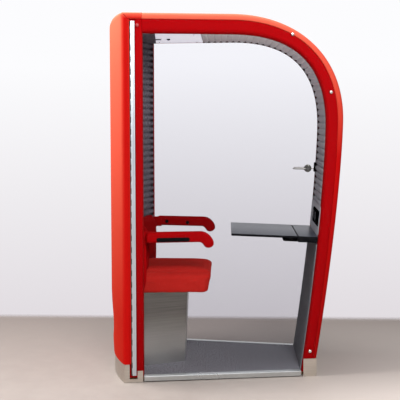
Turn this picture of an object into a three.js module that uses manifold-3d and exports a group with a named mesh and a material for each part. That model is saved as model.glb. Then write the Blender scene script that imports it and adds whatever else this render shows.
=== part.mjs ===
// An acoustic office pod for one person: a padded shell with a bowed back and a rounded roof, glass on
// both long sides, a seat, two armrests and a folding table.
// Millimetres, +Z up. +X runs from the seat back to the table and +Y to the door side.
// The datum x = 0 is the line of the two rear corners. The plan narrows towards the table.
import * as THREE from "three";
import { mergeVertices } from "three/addons/utils/BufferGeometryUtils.js";
import Module from "manifold-3d";

// Driving dimensions
const HEIGHT = 2200; // floor to the top of the roof
const REAR_HALF_WIDTH = 445; // half the width over the rear corners
const TAPER = 0.141; // half width lost for each millimetre of x
const GAP = 0.3; // clearance between neighbours that touch
const REAR_BOW = 126; // how far the padded back bulges behind its corners
const SHELL = 31; // thickness of the rear shell at its edge
const INNER_BOW = REAR_BOW - 5; // bulge of the shell's inner face
const SHELL_TOP = [[0, 36], [0.1, 20], [0.35, 7], [0.75, 0], [1, 0]]; // share of thickness, drop
const STILE_X = [72.3, 112]; // rear stile, from the glazing profile to the cabin
const PLINTH = { height: 110, bow: 108, sheet: 3, low: 70, notch: [31, 78], notchFloor: 21 };
const PLATFORM_Z = [6, 26];
const PLATFORM = { frontX: 1130, margin: 37 };
const CARPET_TOP = 34;
const PANE = 8; // thickness of the glass
const SEAL = 4; // door seal between the far frame and the door
const FRAME_INNER = 72; // inner face of the frames, measured in from the glass plane
const SILL = { end: 1070, depth: 35, top: 35, low: 5, wall: 4, nose: 4 };
const LINING = { thickness: 24, bow: 78, edgeX: 98, half: 355 };

// The arch in side view: a level roof, a round shoulder and a front wall that leans in to its foot
const ROUND_START = 640; // where the level roof ends
const LEAN_POWER = 1.5; // how gently the front wall bends from upright to leaning
const INNER = { roofZ: 2083, wideX: 1212, wideZ: 1530, footX: 1083, roundness: 0.675 };
const CREASE = { roofZ: 2163, wideX: 1281, wideZ: 1560, footX: 1143, roundness: 0.62 };
const OUTER = { roofZ: HEIGHT, wideX: 1316, wideZ: 1573, footX: 1166, roundness: 0.6 };
const ARCH_RIM = [[0, 0], [0.45, 0], [0.72, 4], [0.9, 13], [1, 30]]; // share of padding, draw-in
const LINING_END_Z = 1040; // foot of the ribbed lining
const SOCKET_PANEL = { endZ: 812, thickness: 4 };
const CEILING = { end: 450, thickness: 4, slotX: [120, 192], slotY: [33, 39] };

const STRIP = { x: [42, 72], inset: [-4, 10], slotX: 60, z: [42, 2149] };
const TOOTH = { pitch: 70, length: 36, inset: [-2, 5] }; // comb along the rear edge of the near profile
const HINGE = { x: 37, inset: 4, radius: 4.5, pin: 2.4, knuckles: 15, play: 0.6 };
const HINGE_LEAF = { frontX: 66, inset: [11, 14] };
const CAP = { radius: 10, height: 6 };
const CAPS = [[88, 2125], [1000, 2082], [1236, 1740], [1124, 156]]; // x and z on the near pane
const LATCH = { x: 1156, z: 1242, rose: 25, roseHeight: 8, spindle: 5, case: 18, inset: 17 };
const BOLT = { radius: 5, reach: 56 };
const LEVER = { length: 90, radius: 7, standoff: 30 };
const STRIKE = { x: [1200, 1225], z: [1224, 1284], depth: 20, slot: 8 };

const SEAT = { bottom: 524, crease: 636, crown: 648, frontX: 518, footX: 501, corner: 45 };
const SEAT_HALF = { rear: 280, rearX: 70, taper: 0.07 };
const SEAT_BOARD = { x: [90, 470], half: [235, 215] };
const SEAT_BOX = { rearX: 60, frontX: 345, topX: 365, rearHalf: 225, frontHalf: 116, top: 505, sheet: 3 };
const BACK = { half: 257, bottom: 654, top: 930, middleX: 43, radius: 420, bulge: 24, edge: 8 };
const BACK_BOARD = { thickness: 10, margin: 20, bottom: 664, top: 905 };
const ARM = { inset: 18, width: 52, rear: 128, top: 903, bottom: 840, edge: 8 };
const ARM_PIVOT = { x: 150, z: 872, bore: 7.5, play: 0.5, depth: 26 };
const ARM_BRACKET = { thickness: 8, past: 22, below: 36, above: 30 };
const ARM_PLATE = { x: [188, 386], z: [846, 872], thickness: 3 };
const TABLE = { jointX: 1048, z: 863, tilt: 2.1, leaf: 408, half: 250, leafThick: 14, shelfThick: 37 };
const TABLE_SHELF = 118.4; // shelf from the joint to the wall
const TABLE_HINGE = { radius: 3, drop: 3.2, rebate: 4, rebateDepth: 7 };
const TABLE_BRACKET = { length: 92, width: 40, depth: 19, y: 185 };
const POWER = { y: -40, z: 960, length: 300, height: 95, proud: 5, depth: 14 };
const SOCKET = { radius: 22, x: [2, 10], pinRadius: 2.6, pinOffset: 9.5, pinDepth: 4 };
const FAN = { x: 300, size: 120, depth: 25, bore: 54, margin: 10, bar: 8, barThick: 3, shaft: 3 };
const ROTOR = { hub: 18, tip: 50, vanes: 7, chord: 22, vaneThick: 2, pitch: 0.6, play: 0.5 };
const FOOT = { radius: 30, places: [[40, 330], [1040, 220]] };

const ANGLE = Math.atan(TAPER);
const LENGTH_SCALE = 1 / Math.cos(ANGLE);
const halfWidth = (x) => REAR_HALF_WIDTH - TAPER * x;
const insideWidth = (x, inset) => halfWidth(x) - inset * LENGTH_SCALE;

const wasm = await Module();
wasm.setup();

// Materials
const paint = (color, roughness, metalness = 0) =>
  new THREE.MeshStandardMaterial({ color, roughness, metalness });
const redFabric = paint(0xd8382c, 0.9);
const deepRedFabric = paint(0xa91a1a, 0.9);
const stainless = paint(0xb4aaa0, 0.35, 1);
const brushed = paint(0x6e6e6c, 0.45, 1);
const aluminium = paint(0xc6c6ca, 0.35, 1);
const darkFelt = paint(0x4b464d, 0.95);
const greyFelt = paint(0x828286, 0.95);
const carpet = paint(0x58575c, 1);
const white = paint(0xcdc8cd, 0.5);
const black = paint(0x141416, 0.5);
const charcoal = paint(0x555860, 0.6);
const glass = new THREE.MeshStandardMaterial({
  color: 0xe8f0ee,
  roughness: 0.05,
  transparent: true,
  opacity: 0.2,
});
const core = paint(0x9a9184, 1);
const plywood = paint(0xb98f5c, 0.8);

const pod = new THREE.Group();
const datum = new THREE.Group();
datum.position.x = (REAR_BOW - OUTER.wideX) / 2;
pod.add(datum);

// The glass planes: in each group x runs along the glass and y = side * inset points into the cabin
const NEAR = 1;
const FAR = -1;
const sides = { [NEAR]: new THREE.Group(), [FAR]: new THREE.Group() };
for (const side of [NEAR, FAR]) {
  sides[side].position.y = -side * REAR_HALF_WIDTH;
  sides[side].rotation.z = side * ANGLE;
  sides[side].updateMatrix();
  datum.add(sides[side]);
}

function place(name, geometry, material, parent = datum) {
  geometry.computeVertexNormals();
  const mesh = new THREE.Mesh(geometry, material);
  mesh.name = name;
  parent.add(mesh);
  return mesh;
}

// Cutting and joining
function toSolid(geometry) {
  const bare = geometry.clone();
  bare.deleteAttribute("normal");
  bare.deleteAttribute("uv");
  const merged = mergeVertices(bare, 1e-3);
  const vertProperties = merged.attributes.position.array;
  const triVerts = new Uint32Array(merged.index.array);
  return new wasm.Manifold(new wasm.Mesh({ numProp: 3, vertProperties, triVerts }));
}

function toGeometry(solid) {
  const { vertProperties, triVerts } = solid.getMesh();
  return new THREE.BufferGeometry()
    .setAttribute("position", new THREE.BufferAttribute(vertProperties, 3))
    .setIndex(new THREE.BufferAttribute(triVerts, 1));
}

const cut = (body, ...tools) =>
  toGeometry(tools.reduce((solid, tool) => solid.subtract(toSolid(tool)), toSolid(body)));
const join = (first, ...rest) =>
  toGeometry(rest.reduce((solid, other) => solid.add(toSolid(other)), toSolid(first)));

// Basic shapes
function box([x0, x1], [y0, y1], [z0, z1]) {
  const geometry = new THREE.BoxGeometry(x1 - x0, y1 - y0, z1 - z0);
  return geometry.translate((x0 + x1) / 2, (y0 + y1) / 2, (z0 + z1) / 2);
}

const outline = (points) => new THREE.Shape(points.map(([x, y]) => new THREE.Vector2(x, y)));

// A plan outline between two heights
function slab(points, [z0, z1]) {
  const geometry = new THREE.ExtrudeGeometry(outline(points), { depth: z1 - z0, bevelEnabled: false });
  return geometry.translate(0, 0, z0);
}

// A side-view shape in a glass plane, between two insets from the glass
function plate(shape, side, [inset0, inset1], edge = 0) {
  const geometry = new THREE.ExtrudeGeometry(shape, {
    depth: inset1 - inset0 - 2 * edge,
    bevelEnabled: edge > 0,
    bevelThickness: edge,
    bevelSize: edge,
    bevelOffset: -edge,
    bevelSegments: 2,
    curveSegments: 8,
  });
  const start = side === NEAR ? inset1 - edge : -inset0 - edge;
  return geometry.rotateX(Math.PI / 2).translate(0, start, 0);
}

const onGlass = (points) => outline(points.map(([x, z]) => [x * LENGTH_SCALE, z]));

// A box in a glass plane
function sideBox([x0, x1], side, [inset0, inset1], z) {
  const y = [side * inset0, side * inset1].sort((a, b) => a - b);
  return box([x0 * LENGTH_SCALE, x1 * LENGTH_SCALE], y, z);
}

// A round bar square to a glass plane
function sideBar(x, z, radius, side, [inset0, inset1], facets = 16) {
  const geometry = new THREE.CylinderGeometry(radius, radius, inset1 - inset0, facets);
  return geometry.translate(x * LENGTH_SCALE, (side * (inset0 + inset1)) / 2, z);
}

// A solid through rings of equal length, closed by a fan over each end ring
function loft(rings) {
  const count = rings[0].length;
  const points = rings.flat();
  const index = [];
  for (let start = 0; start + count < points.length; start += count) {
    for (let j = 0; j < count; j++) {
      const a = start + j;
      const b = start + ((j + 1) % count);
      index.push(a, b, b + count, a, b + count, a + count);
    }
  }
  const last = points.length - count;
  for (let j = 1; j < count - 1; j++) {
    index.push(0, j + 1, j, last, last + j, last + j + 1);
  }
  const geometry = new THREE.BufferGeometry().setFromPoints(points).setIndex(index);
  if (signedVolume(points, index) < 0) geometry.index.array.reverse();
  return geometry;
}

function signedVolume(points, index) {
  let sum = 0;
  const normal = new THREE.Vector3();
  for (let i = 0; i < index.length; i += 3) {
    const [a, b, c] = [points[index[i]], points[index[i + 1]], points[index[i + 2]]];
    sum += normal.crossVectors(b, c).dot(a);
  }
  return sum;
}

const spread = (low, high, steps) =>
  Array.from({ length: steps + 1 }, (_, i) => low + ((high - low) * i) / steps);

// A plan arc that touches x = 0 at y = half on both sides and bulges to x = -sag between them
function bow(y, sag, half) {
  const radius = (half * half + sag * sag) / (2 * sag);
  return radius - sag - Math.sqrt(radius * radius - y * y);
}

const bowLine = (edgeX, sag, half, steps = 14) =>
  spread(-half, half, steps).map((y) => [edgeX + bow(y, sag, half), y]);

// Side-view outlines of the arch, as [x, z] points from the rear to the foot
function frontX(arch, z) {
  const fall = (arch.wideZ - z) / (arch.wideZ - PLINTH.height);
  return arch.wideX - (arch.wideX - arch.footX) * fall ** LEAN_POWER;
}

const frontLine = (arch, z0, z1, steps) =>
  spread(z0, z1, steps).map((z) => [frontX(arch, z), z]);

function archLine(arch, startX, endZ, steps = 12) {
  const { roofZ, wideX, wideZ, roundness } = arch;
  const shoulder = new THREE.CubicBezierCurve(
    new THREE.Vector2(ROUND_START, roofZ),
    new THREE.Vector2(ROUND_START + roundness * (wideX - ROUND_START), roofZ),
    new THREE.Vector2(wideX, wideZ + roundness * (roofZ - wideZ)),
    new THREE.Vector2(wideX, wideZ),
  );
  const round = shoulder.getPoints(steps).map((p) => [p.x, p.y]);
  return [[startX, roofZ], ...round, ...frontLine(arch, wideZ, endZ, 8).slice(1)];
}

// The outline a share of the way from the cabin (0) to the crease under the padding (1)
function archAt(share) {
  const mixed = {};
  for (const key of Object.keys(INNER)) {
    mixed[key] = THREE.MathUtils.lerp(INNER[key], CREASE[key], share);
  }
  return mixed;
}

// A band between two side-view lines, from one plan edge y = low(x) to the other y = high(x)
function bandBetween(lineA, lineB, low, high) {
  const rings = lineA.map(([xa, za], i) => {
    const [xb, zb] = lineB[i];
    return [
      new THREE.Vector3(xa, low(xa), za),
      new THREE.Vector3(xb, low(xb), zb),
      new THREE.Vector3(xb, high(xb), zb),
      new THREE.Vector3(xa, high(xa), za),
    ];
  });
  return loft(rings);
}

// A band right across the pod, ending short of the glass planes
const band = (lineA, lineB, inset) =>
  bandBetween(lineA, lineB, (x) => -insideWidth(x, inset), (x) => insideWidth(x, inset));

// A band along one glass plane, between two insets from the glass
const sideBand = (lineA, lineB, side, [inset0, inset1]) =>
  bandBetween(
    lineA,
    lineB,
    (x) => -side * insideWidth(x, inset0),
    (x) => -side * insideWidth(x, inset1),
  );

const LINING_SHARE = LINING.thickness / (CREASE.roofZ - INNER.roofZ);
const CORE_SHARE = [LINING_SHARE + 0.03, 0.97];
const BAND_INSET = FRAME_INNER + 1;

// Base: platform, carpet, plinths, sills and levelling feet
const platformEdge = (x) => halfWidth(x) - PLATFORM.margin;
place(
  "base_platform",
  slab(
    [
      ...bowLine(SHELL, INNER_BOW, platformEdge(SHELL)).reverse(),
      [PLATFORM.frontX, -platformEdge(PLATFORM.frontX)],
      [PLATFORM.frontX, platformEdge(PLATFORM.frontX)],
    ].reverse(),
    PLATFORM_Z,
  ),
  plywood,
);

const liningFront = (y) => LINING.edgeX + bow(y, LINING.bow, LINING.half);
const liningLine = (offset) =>
  bowLine(LINING.edgeX, LINING.bow, LINING.half).map(([x, y]) => [x + offset, y]);
const carpetEdge = (x) => insideWidth(x, FRAME_INNER + 1);
const carpetSide = (x) => insideWidth(x, SILL.depth + 2);
const carpetRear = STILE_X[1] + 1;
const carpetFront = frontX(INNER, PLATFORM_Z[1]) - 2;
place(
  "floor_carpet",
  slab(
    [
      ...liningLine(0.5),
      [carpetRear, carpetEdge(carpetRear)],
      [carpetRear, carpetSide(carpetRear)],
      [carpetFront, carpetSide(carpetFront)],
      [carpetFront, -carpetSide(carpetFront)],
      [carpetRear, -carpetSide(carpetRear)],
      [carpetRear, -carpetEdge(carpetRear)],
    ].reverse(),
    [PLATFORM_Z[1] + GAP, CARPET_TOP],
  ),
  carpet,
);

function rearPlinth() {
  const { height, bow: sag, sheet, low, notch, notchFloor } = PLINTH;
  const front = STILE_X[1] - 1;
  const inner = REAR_HALF_WIDTH - sheet;
  const open = halfWidth(front) - sheet;
  const body = slab(
    [
      [front, -halfWidth(front)],
      [front, -open],
      ...bowLine(sheet, sag, inner),
      [front, open],
      [front, halfWidth(front)],
      ...bowLine(0, sag, REAR_HALF_WIDTH).reverse(),
    ],
    [0, height],
  );
  const tools = [-1, 1].flatMap((sign) => {
    const across = [sign * (open - 50), sign * (REAR_HALF_WIDTH + 10)].sort((a, b) => a - b);
    return [
      box(notch, across, [notchFloor, height + 1]),
      box([notch[1] - 1, front + 1], across, [low, height + 1]),
    ];
  });
  return cut(body, ...tools);
}
place("rear_plinth", rearPlinth(), stainless);

function frontPlinth() {
  const { height, sheet } = PLINTH;
  const [rear, front] = [INNER.footX + 1, OUTER.footX];
  return slab(
    [
      [rear, -halfWidth(rear)],
      [front, -halfWidth(front)],
      [front, halfWidth(front)],
      [rear, halfWidth(rear)],
      [rear, insideWidth(rear, sheet)],
      [front - sheet, insideWidth(front - sheet, sheet)],
      [front - sheet, -insideWidth(front - sheet, sheet)],
      [rear, -insideWidth(rear, sheet)],
    ],
    [0, height],
  );
}
place("front_plinth", frontPlinth(), stainless);

function sill(side) {
  const { end, depth, top, low, wall, nose } = SILL;
  const edge = 1;
  const start = (STILE_X[1] + 1.5 + depth * Math.sin(ANGLE)) * LENGTH_SCALE;
  const section = outline(
    [
      [edge, low],
      [edge, top - nose],
      [edge + nose, top],
      [depth, top],
      [depth, top - wall],
      [edge + wall, top - wall],
      [edge + wall, low],
    ].map(([inset, z]) => [side * inset, z]),
  );
  const length = end * LENGTH_SCALE - start;
  const geometry = new THREE.ExtrudeGeometry(section, { depth: length, bevelEnabled: false });
  // The section lies across the run: its x is the inset and its y is the height
  return geometry.rotateX(Math.PI / 2).rotateZ(Math.PI / 2).translate(start, 0, 0);
}
place("near_sill", sill(NEAR), aluminium, sides[NEAR]);
place("far_sill", sill(FAR), aluminium, sides[FAR]);

FOOT.places.forEach(([x, y], row) => {
  [-y, y].forEach((across, column) => {
    const geometry = new THREE.CylinderGeometry(FOOT.radius, FOOT.radius, PLATFORM_Z[0] - GAP, 20);
    geometry.rotateX(Math.PI / 2).translate(x, across, (PLATFORM_Z[0] - GAP) / 2);
    place(`levelling_foot_${row * 2 + column + 1}`, geometry, black);
  });
});

// Rear wall: padded shell and cap, core, stiles and lining
function rearShell() {
  const innerHalf = halfWidth(SHELL);
  const section = [
    [0, PLINTH.height + GAP],
    ...SHELL_TOP.map(([share, drop]) => [share, HEIGHT - drop]),
    [1, PLINTH.height + GAP],
  ];
  const rings = spread(-1, 1, 16).map((share) => {
    const outerY = share * REAR_HALF_WIDTH;
    const innerY = share * innerHalf;
    const outerX = bow(outerY, REAR_BOW, REAR_HALF_WIDTH);
    const innerX = SHELL + bow(innerY, INNER_BOW, innerHalf);
    return section.map(
      ([part, z]) =>
        new THREE.Vector3(
          THREE.MathUtils.lerp(outerX, innerX, part),
          THREE.MathUtils.lerp(outerY, innerY, part),
          z,
        ),
    );
  });
  return loft(rings);
}
place("rear_shell", rearShell(), redFabric);

const shellInside = (inset) =>
  bowLine(SHELL + 0.8, INNER_BOW, halfWidth(SHELL) - inset, 16);
place(
  "rear_cap",
  slab(
    [
      ...shellInside(1),
      [STILE_X[1], halfWidth(STILE_X[1])],
      [STILE_X[1], -halfWidth(STILE_X[1])],
    ].reverse(),
    [CREASE.roofZ + GAP, HEIGHT],
  ),
  redFabric,
);

const coreX = STILE_X[0] - 0.6;
const coreEnd = [15, FRAME_INNER + 0.6].map((inset) => [coreX, insideWidth(coreX, inset)]);
place(
  "rear_core",
  slab(
    [
      ...shellInside(16),
      ...coreEnd,
      ...liningLine(-LINING.thickness - 0.5).reverse(),
      ...coreEnd.map(([x, y]) => [x, -y]).reverse(),
    ].reverse(),
    [PLATFORM_Z[1] + GAP, CREASE.roofZ - GAP],
  ),
  core,
);

const faceInset = { [NEAR]: PANE + GAP, [FAR]: PANE + SEAL + 2 * GAP };
for (const side of [NEAR, FAR]) {
  const corners = [
    [STILE_X[0], faceInset[side]],
    [STILE_X[1], faceInset[side]],
    [STILE_X[1], FRAME_INNER],
    [STILE_X[0], FRAME_INNER],
  ];
  const plan = corners.map(([x, inset]) => [x, -side * insideWidth(x, inset)]);
  const geometry = slab(plan, [PLATFORM_Z[1] + GAP, CREASE.roofZ - GAP]);
  place(side === NEAR ? "near_rear_stile" : "far_rear_stile", geometry, deepRedFabric);
}

place(
  "rear_lining",
  slab(
    [...liningLine(0).reverse(), ...liningLine(-LINING.thickness)],
    [PLATFORM_Z[1] + GAP, INNER.roofZ - GAP],
  ),
  darkFelt,
);

// Arch: padded shell, core, frames and linings
function archShell() {
  const start = STILE_X[1] + GAP;
  const end = PLINTH.height + GAP;
  const inside = archLine(CREASE, start, end);
  const outside = archLine(OUTER, start, end);
  const rim = (sign) => ARCH_RIM.map(([share, inset]) => [share, inset, sign]);
  const section = [...rim(-1), ...rim(1).reverse()];
  const rings = inside.map(([xa, za], i) =>
    section.map(([share, inset, sign]) => {
      const x = THREE.MathUtils.lerp(xa, outside[i][0], share);
      const z = THREE.MathUtils.lerp(za, outside[i][1], share);
      return new THREE.Vector3(x, sign * (halfWidth(x) - inset), z);
    }),
  );
  return loft(rings);
}
place("arch_shell", archShell(), redFabric);

const fanReach = FAN.size / 2 + FAN.margin;
const fanRecess = box(
  [FAN.x - fanReach, FAN.x + fanReach],
  [-fanReach, fanReach],
  [INNER.roofZ, INNER.roofZ + CEILING.thickness + FAN.depth + FAN.margin],
);
const archRear = STILE_X[1] + 1;
const floorZ = PLATFORM_Z[1] + GAP;
place(
  "arch_core",
  cut(
    band(
      archLine(archAt(CORE_SHARE[0]), archRear, floorZ),
      archLine(archAt(CORE_SHARE[1]), archRear, floorZ),
      BAND_INSET,
    ),
    fanRecess,
  ),
  core,
);

const strikePocket = sideBox(
  [STRIKE.x[0] - 20, STRIKE.x[1] + 0.5],
  FAR,
  [0, faceInset[FAR] + STRIKE.depth + 0.5],
  [STRIKE.z[0] - 0.5, STRIKE.z[1] + 0.5],
);
function archFrame(side) {
  const inside = archLine(INNER, archRear, floorZ);
  const outside = archLine(archAt(CORE_SHARE[1]), archRear, floorZ);
  return sideBand(inside, outside, side, [faceInset[side], FRAME_INNER]);
}
place("near_arch_frame", archFrame(NEAR), deepRedFabric);
place(
  "far_arch_frame",
  cut(archFrame(FAR), strikePocket.applyMatrix4(sides[FAR].matrix)),
  deepRedFabric,
);

place(
  "arch_lining",
  band(
    archLine(INNER, CEILING.end + 0.5, LINING_END_Z + GAP),
    archLine(archAt(LINING_SHARE), CEILING.end + 0.5, LINING_END_Z + GAP),
    BAND_INSET,
  ),
  greyFelt,
);
place(
  "front_lower_lining",
  band(
    frontLine(INNER, SOCKET_PANEL.endZ - GAP, floorZ, 6),
    frontLine(archAt(LINING_SHARE), SOCKET_PANEL.endZ - GAP, floorZ, 6),
    BAND_INSET,
  ),
  darkFelt,
);

// Power module, set in the panel between the table and the ribbed lining
const [powerLow, powerHigh] = [POWER.z - POWER.height / 2, POWER.z + POWER.height / 2];
const powerLean = Math.atan(
  (frontX(INNER, powerHigh) - frontX(INNER, powerLow)) / POWER.height,
);
const power = new THREE.Group();
power.position.set(frontX(INNER, POWER.z), POWER.y, POWER.z);
power.rotation.y = powerLean;
datum.add(power);
power.updateMatrix();

// A block in the leaning frame of the module: x out of the cabin, y across, z up the panel
const powerBlock = (x, length, height) =>
  box(x, [-length / 2, length / 2], [-height / 2, height / 2]);
const socketPlaces = [-1, 1].map((sign) => (sign * POWER.length) / 6 + POWER.length / 6);

function socketDisc(y, [x0, x1], radius) {
  const geometry = new THREE.CylinderGeometry(radius, radius, x1 - x0, 24);
  return geometry.rotateZ(Math.PI / 2).translate((x0 + x1) / 2, y, 0);
}

const panelShare = SOCKET_PANEL.thickness / (CREASE.roofZ - INNER.roofZ);
place(
  "socket_panel",
  cut(
    band(
      frontLine(INNER, LINING_END_Z - GAP, SOCKET_PANEL.endZ + GAP, 6),
      frontLine(archAt(panelShare), LINING_END_Z - GAP, SOCKET_PANEL.endZ + GAP, 6),
      BAND_INSET,
    ),
    powerBlock([-40, 40], POWER.length + 1, POWER.height + 1).applyMatrix4(power.matrix),
  ),
  aluminium,
);
place(
  "power_module",
  cut(
    powerBlock([-POWER.proud, POWER.depth], POWER.length, POWER.height),
    ...socketPlaces.map((y) =>
      socketDisc(y, [-POWER.proud - 1, SOCKET.x[1] + GAP], SOCKET.radius + GAP),
    ),
  ),
  black,
  power,
);
socketPlaces.forEach((y, i) => {
  const { radius, x, pinRadius, pinOffset, pinDepth } = SOCKET;
  const pins = [-pinOffset, pinOffset].map((offset) =>
    socketDisc(y + offset, [x[0] - 1, x[0] + pinDepth], pinRadius),
  );
  place(`socket_${i + 1}`, cut(socketDisc(y, x, radius), ...pins), black, power);
});

// Ceiling: panel with an air slot, and the fan above it
const ceilingZ = [INNER.roofZ, INNER.roofZ + CEILING.thickness];
function ceilingPanel() {
  const { end, slotX, slotY } = CEILING;
  const edge = (x) => insideWidth(x, BAND_INSET);
  const panel = slab(
    [
      ...liningLine(-10),
      [archRear, edge(archRear)],
      [end, edge(end)],
      [end, -edge(end)],
      [archRear, -edge(archRear)],
    ].reverse(),
    ceilingZ,
  );
  return cut(panel, box(slotX, slotY, [ceilingZ[0] - 5, ceilingZ[1] + 5]));
}
place("ceiling_panel", ceilingPanel(), white);

const fanZ = [ceilingZ[1] + GAP, ceilingZ[1] + GAP + FAN.depth];
function fanFrame() {
  const { size, depth, bore, bar: barWidth, barThick, shaft: shaftRadius } = FAN;
  const square = outline([
    [-size / 2, -size / 2],
    [size / 2, -size / 2],
    [size / 2, size / 2],
    [-size / 2, size / 2],
  ]);
  square.holes.push(new THREE.Path().absarc(0, 0, bore, 0, 2 * Math.PI, true));
  const ring = new THREE.ExtrudeGeometry(square, { depth, bevelEnabled: false });
  const bar = box([-bore - 2, bore + 2], [-barWidth / 2, barWidth / 2], [0, barThick]);
  const shaftLength = depth - 2 * barThick;
  const shaft = new THREE.CylinderGeometry(shaftRadius, shaftRadius, shaftLength, 12);
  return join(ring, bar, shaft.rotateX(Math.PI / 2).translate(0, 0, shaftLength / 2));
}
const fan = new THREE.Group();
fan.position.set(FAN.x, 0, fanZ[0]);
datum.add(fan);
place("fan_frame", fanFrame(), black, fan);

function fanRotor() {
  const { hub, tip, vanes, chord, vaneThick, pitch, play } = ROTOR;
  const { depth, barThick, shaft } = FAN;
  const low = barThick + play;
  const height = depth - play - low;
  const body = new THREE.CylinderGeometry(hub, hub, height, 20).rotateX(Math.PI / 2);
  const blades = spread(0, 2 * Math.PI, vanes).slice(1).map((turn) => {
    const blade = box([hub - 4, tip], [-chord / 2, chord / 2], [-vaneThick / 2, vaneThick / 2]);
    return blade.rotateX(pitch).rotateZ(turn);
  });
  const bore = new THREE.CylinderGeometry(shaft + play, shaft + play, depth, 12);
  return cut(join(body, ...blades), bore.rotateX(Math.PI / 2)).translate(0, 0, low + height / 2);
}
place("fan_rotor", fanRotor(), black, fan);

// Glass: the near pane is fixed, the far pane is the door
function paneShape(play) {
  const edge = archLine(archAt(0.95), STRIP.slotX + 1, PLINTH.height + 1 + play);
  const rise = PLINTH.low + 1 + play;
  const low = SILL.top + 1 + play;
  const step = STILE_X[1] + 2;
  return onGlass([
    [STRIP.slotX + 1, rise],
    [step, rise],
    [step, low],
    [INNER.footX - 2, low],
    [INNER.footX - 2, PLINTH.height + 1 + play],
    ...edge.reverse(),
  ]);
}
place("near_pane", plate(paneShape(0), NEAR, [0, PANE]), glass, sides[NEAR]);

// The aluminium profile that grips the rear edge of a pane
function stripShape(side) {
  const { x, inset, slotX } = STRIP;
  return outline(
    [
      [x[0], inset[0]],
      [x[1], inset[0]],
      [x[1], -0.4],
      [slotX, -0.4],
      [slotX, PANE + 0.2],
      [x[1], PANE + 0.2],
      [x[1], inset[1]],
      [x[0], inset[1]],
    ].map(([px, pi]) => [px * LENGTH_SCALE, side * pi]),
  );
}

function strip(side) {
  const { z } = STRIP;
  const options = { depth: z[1] - z[0], bevelEnabled: false };
  return new THREE.ExtrudeGeometry(stripShape(side), options).translate(0, 0, z[0]);
}

// Teeth along the rear edge of the near profile, in step with the knuckles of a hinge
function profileComb() {
  const { x, z } = STRIP;
  const [root, tip] = [x[0] + 1, PLINTH.notch[0] + 2];
  const points = [[root, z[0]]];
  for (let low = z[0]; low + TOOTH.length < z[1]; low += TOOTH.pitch) {
    points.push([tip, low], [tip, low + TOOTH.length], [root - 1, low + TOOTH.length]);
    points.push([root - 1, Math.min(low + TOOTH.pitch, z[1])]);
  }
  points.push([root, z[1]]);
  return plate(onGlass(points.reverse()), NEAR, TOOTH.inset);
}
place("pane_profile", join(strip(NEAR), profileComb()), aluminium, sides[NEAR]);

CAPS.forEach(([x, z], i) => {
  const geometry = sideBar(x, z, CAP.radius, NEAR, [-CAP.height, -GAP], 20);
  place(`pane_cap_${i + 1}`, geometry, stainless, sides[NEAR]);
});

// Door hinge: knuckles of the frame leaf and of the door profile take turns along one pin
function knuckle(z0, z1) {
  const ring = new THREE.Shape().absarc(0, 0, HINGE.radius, 0, 2 * Math.PI);
  ring.holes.push(new THREE.Path().absarc(0, 0, HINGE.pin + GAP, 0, 2 * Math.PI, true));
  const options = { depth: z1 - z0, bevelEnabled: false, curveSegments: 6 };
  const geometry = new THREE.ExtrudeGeometry(ring, options);
  return geometry.translate(HINGE.x * LENGTH_SCALE, FAR * HINGE.inset, z0);
}

const hingeAxisX = HINGE.x * LENGTH_SCALE;
const knuckleLength = (STRIP.z[1] - STRIP.z[0]) / HINGE.knuckles;
const knuckleZ = (i) => [
  STRIP.z[0] + i * knuckleLength + HINGE.play,
  STRIP.z[0] + (i + 1) * knuckleLength - HINGE.play,
];
const knuckleTurns = Array.from({ length: HINGE.knuckles }, (_, i) => i);
const frameTurns = knuckleTurns.filter((i) => i % 2 === 0);
const doorTurns = knuckleTurns.filter((i) => i % 2 === 1);

function hingeFrameLeaf() {
  const leafX = [PLINTH.notch[0] + 2, HINGE_LEAF.frontX];
  const leaf = sideBox(leafX, FAR, HINGE_LEAF.inset, STRIP.z);
  const arms = frameTurns.map((i) => {
    const [x0, x1] = [hingeAxisX - HINGE.radius, hingeAxisX];
    const y = [-HINGE_LEAF.inset[0] - 1, -HINGE.inset - HINGE.pin - 1];
    return join(box([x0, x1], y, knuckleZ(i)), knuckle(...knuckleZ(i)));
  });
  return join(leaf, ...arms);
}
place("hinge_frame_leaf", hingeFrameLeaf(), aluminium, sides[FAR]);

function doorHingeLeaf() {
  const arms = doorTurns.map((i) => {
    const x = [hingeAxisX + HINGE.pin + 1, STRIP.x[0] * LENGTH_SCALE + 1];
    const y = [-HINGE.inset - 1, -HINGE.inset + HINGE.radius];
    return join(box(x, y, knuckleZ(i)), knuckle(...knuckleZ(i)));
  });
  return join(strip(FAR), ...arms);
}
place("door_hinge_leaf", doorHingeLeaf(), aluminium, sides[FAR]);

const pin = new THREE.CylinderGeometry(HINGE.pin, HINGE.pin, STRIP.z[1] - STRIP.z[0], 12);
pin.rotateX(Math.PI / 2).translate(hingeAxisX, FAR * HINGE.inset, (STRIP.z[0] + STRIP.z[1]) / 2);
place("hinge_pin", pin, stainless, sides[FAR]);

const spindleHole = sideBar(LATCH.x, LATCH.z, LATCH.spindle + 2, FAR, [-5, PANE + 5]);
place(
  "door_pane",
  cut(plate(paneShape(2), FAR, [0, PANE]), spindleHole),
  glass,
  sides[FAR],
);
const sealInside = archLine(archAt(0.78), STILE_X[0], PLINTH.height + 4);
const sealOutside = archLine(archAt(0.9), STILE_X[0], PLINTH.height + 4);
place(
  "door_seal",
  plate(onGlass([...sealInside, ...sealOutside.reverse()]), FAR, [PANE + GAP, PANE + GAP + SEAL]),
  black,
  sides[FAR],
);

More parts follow.
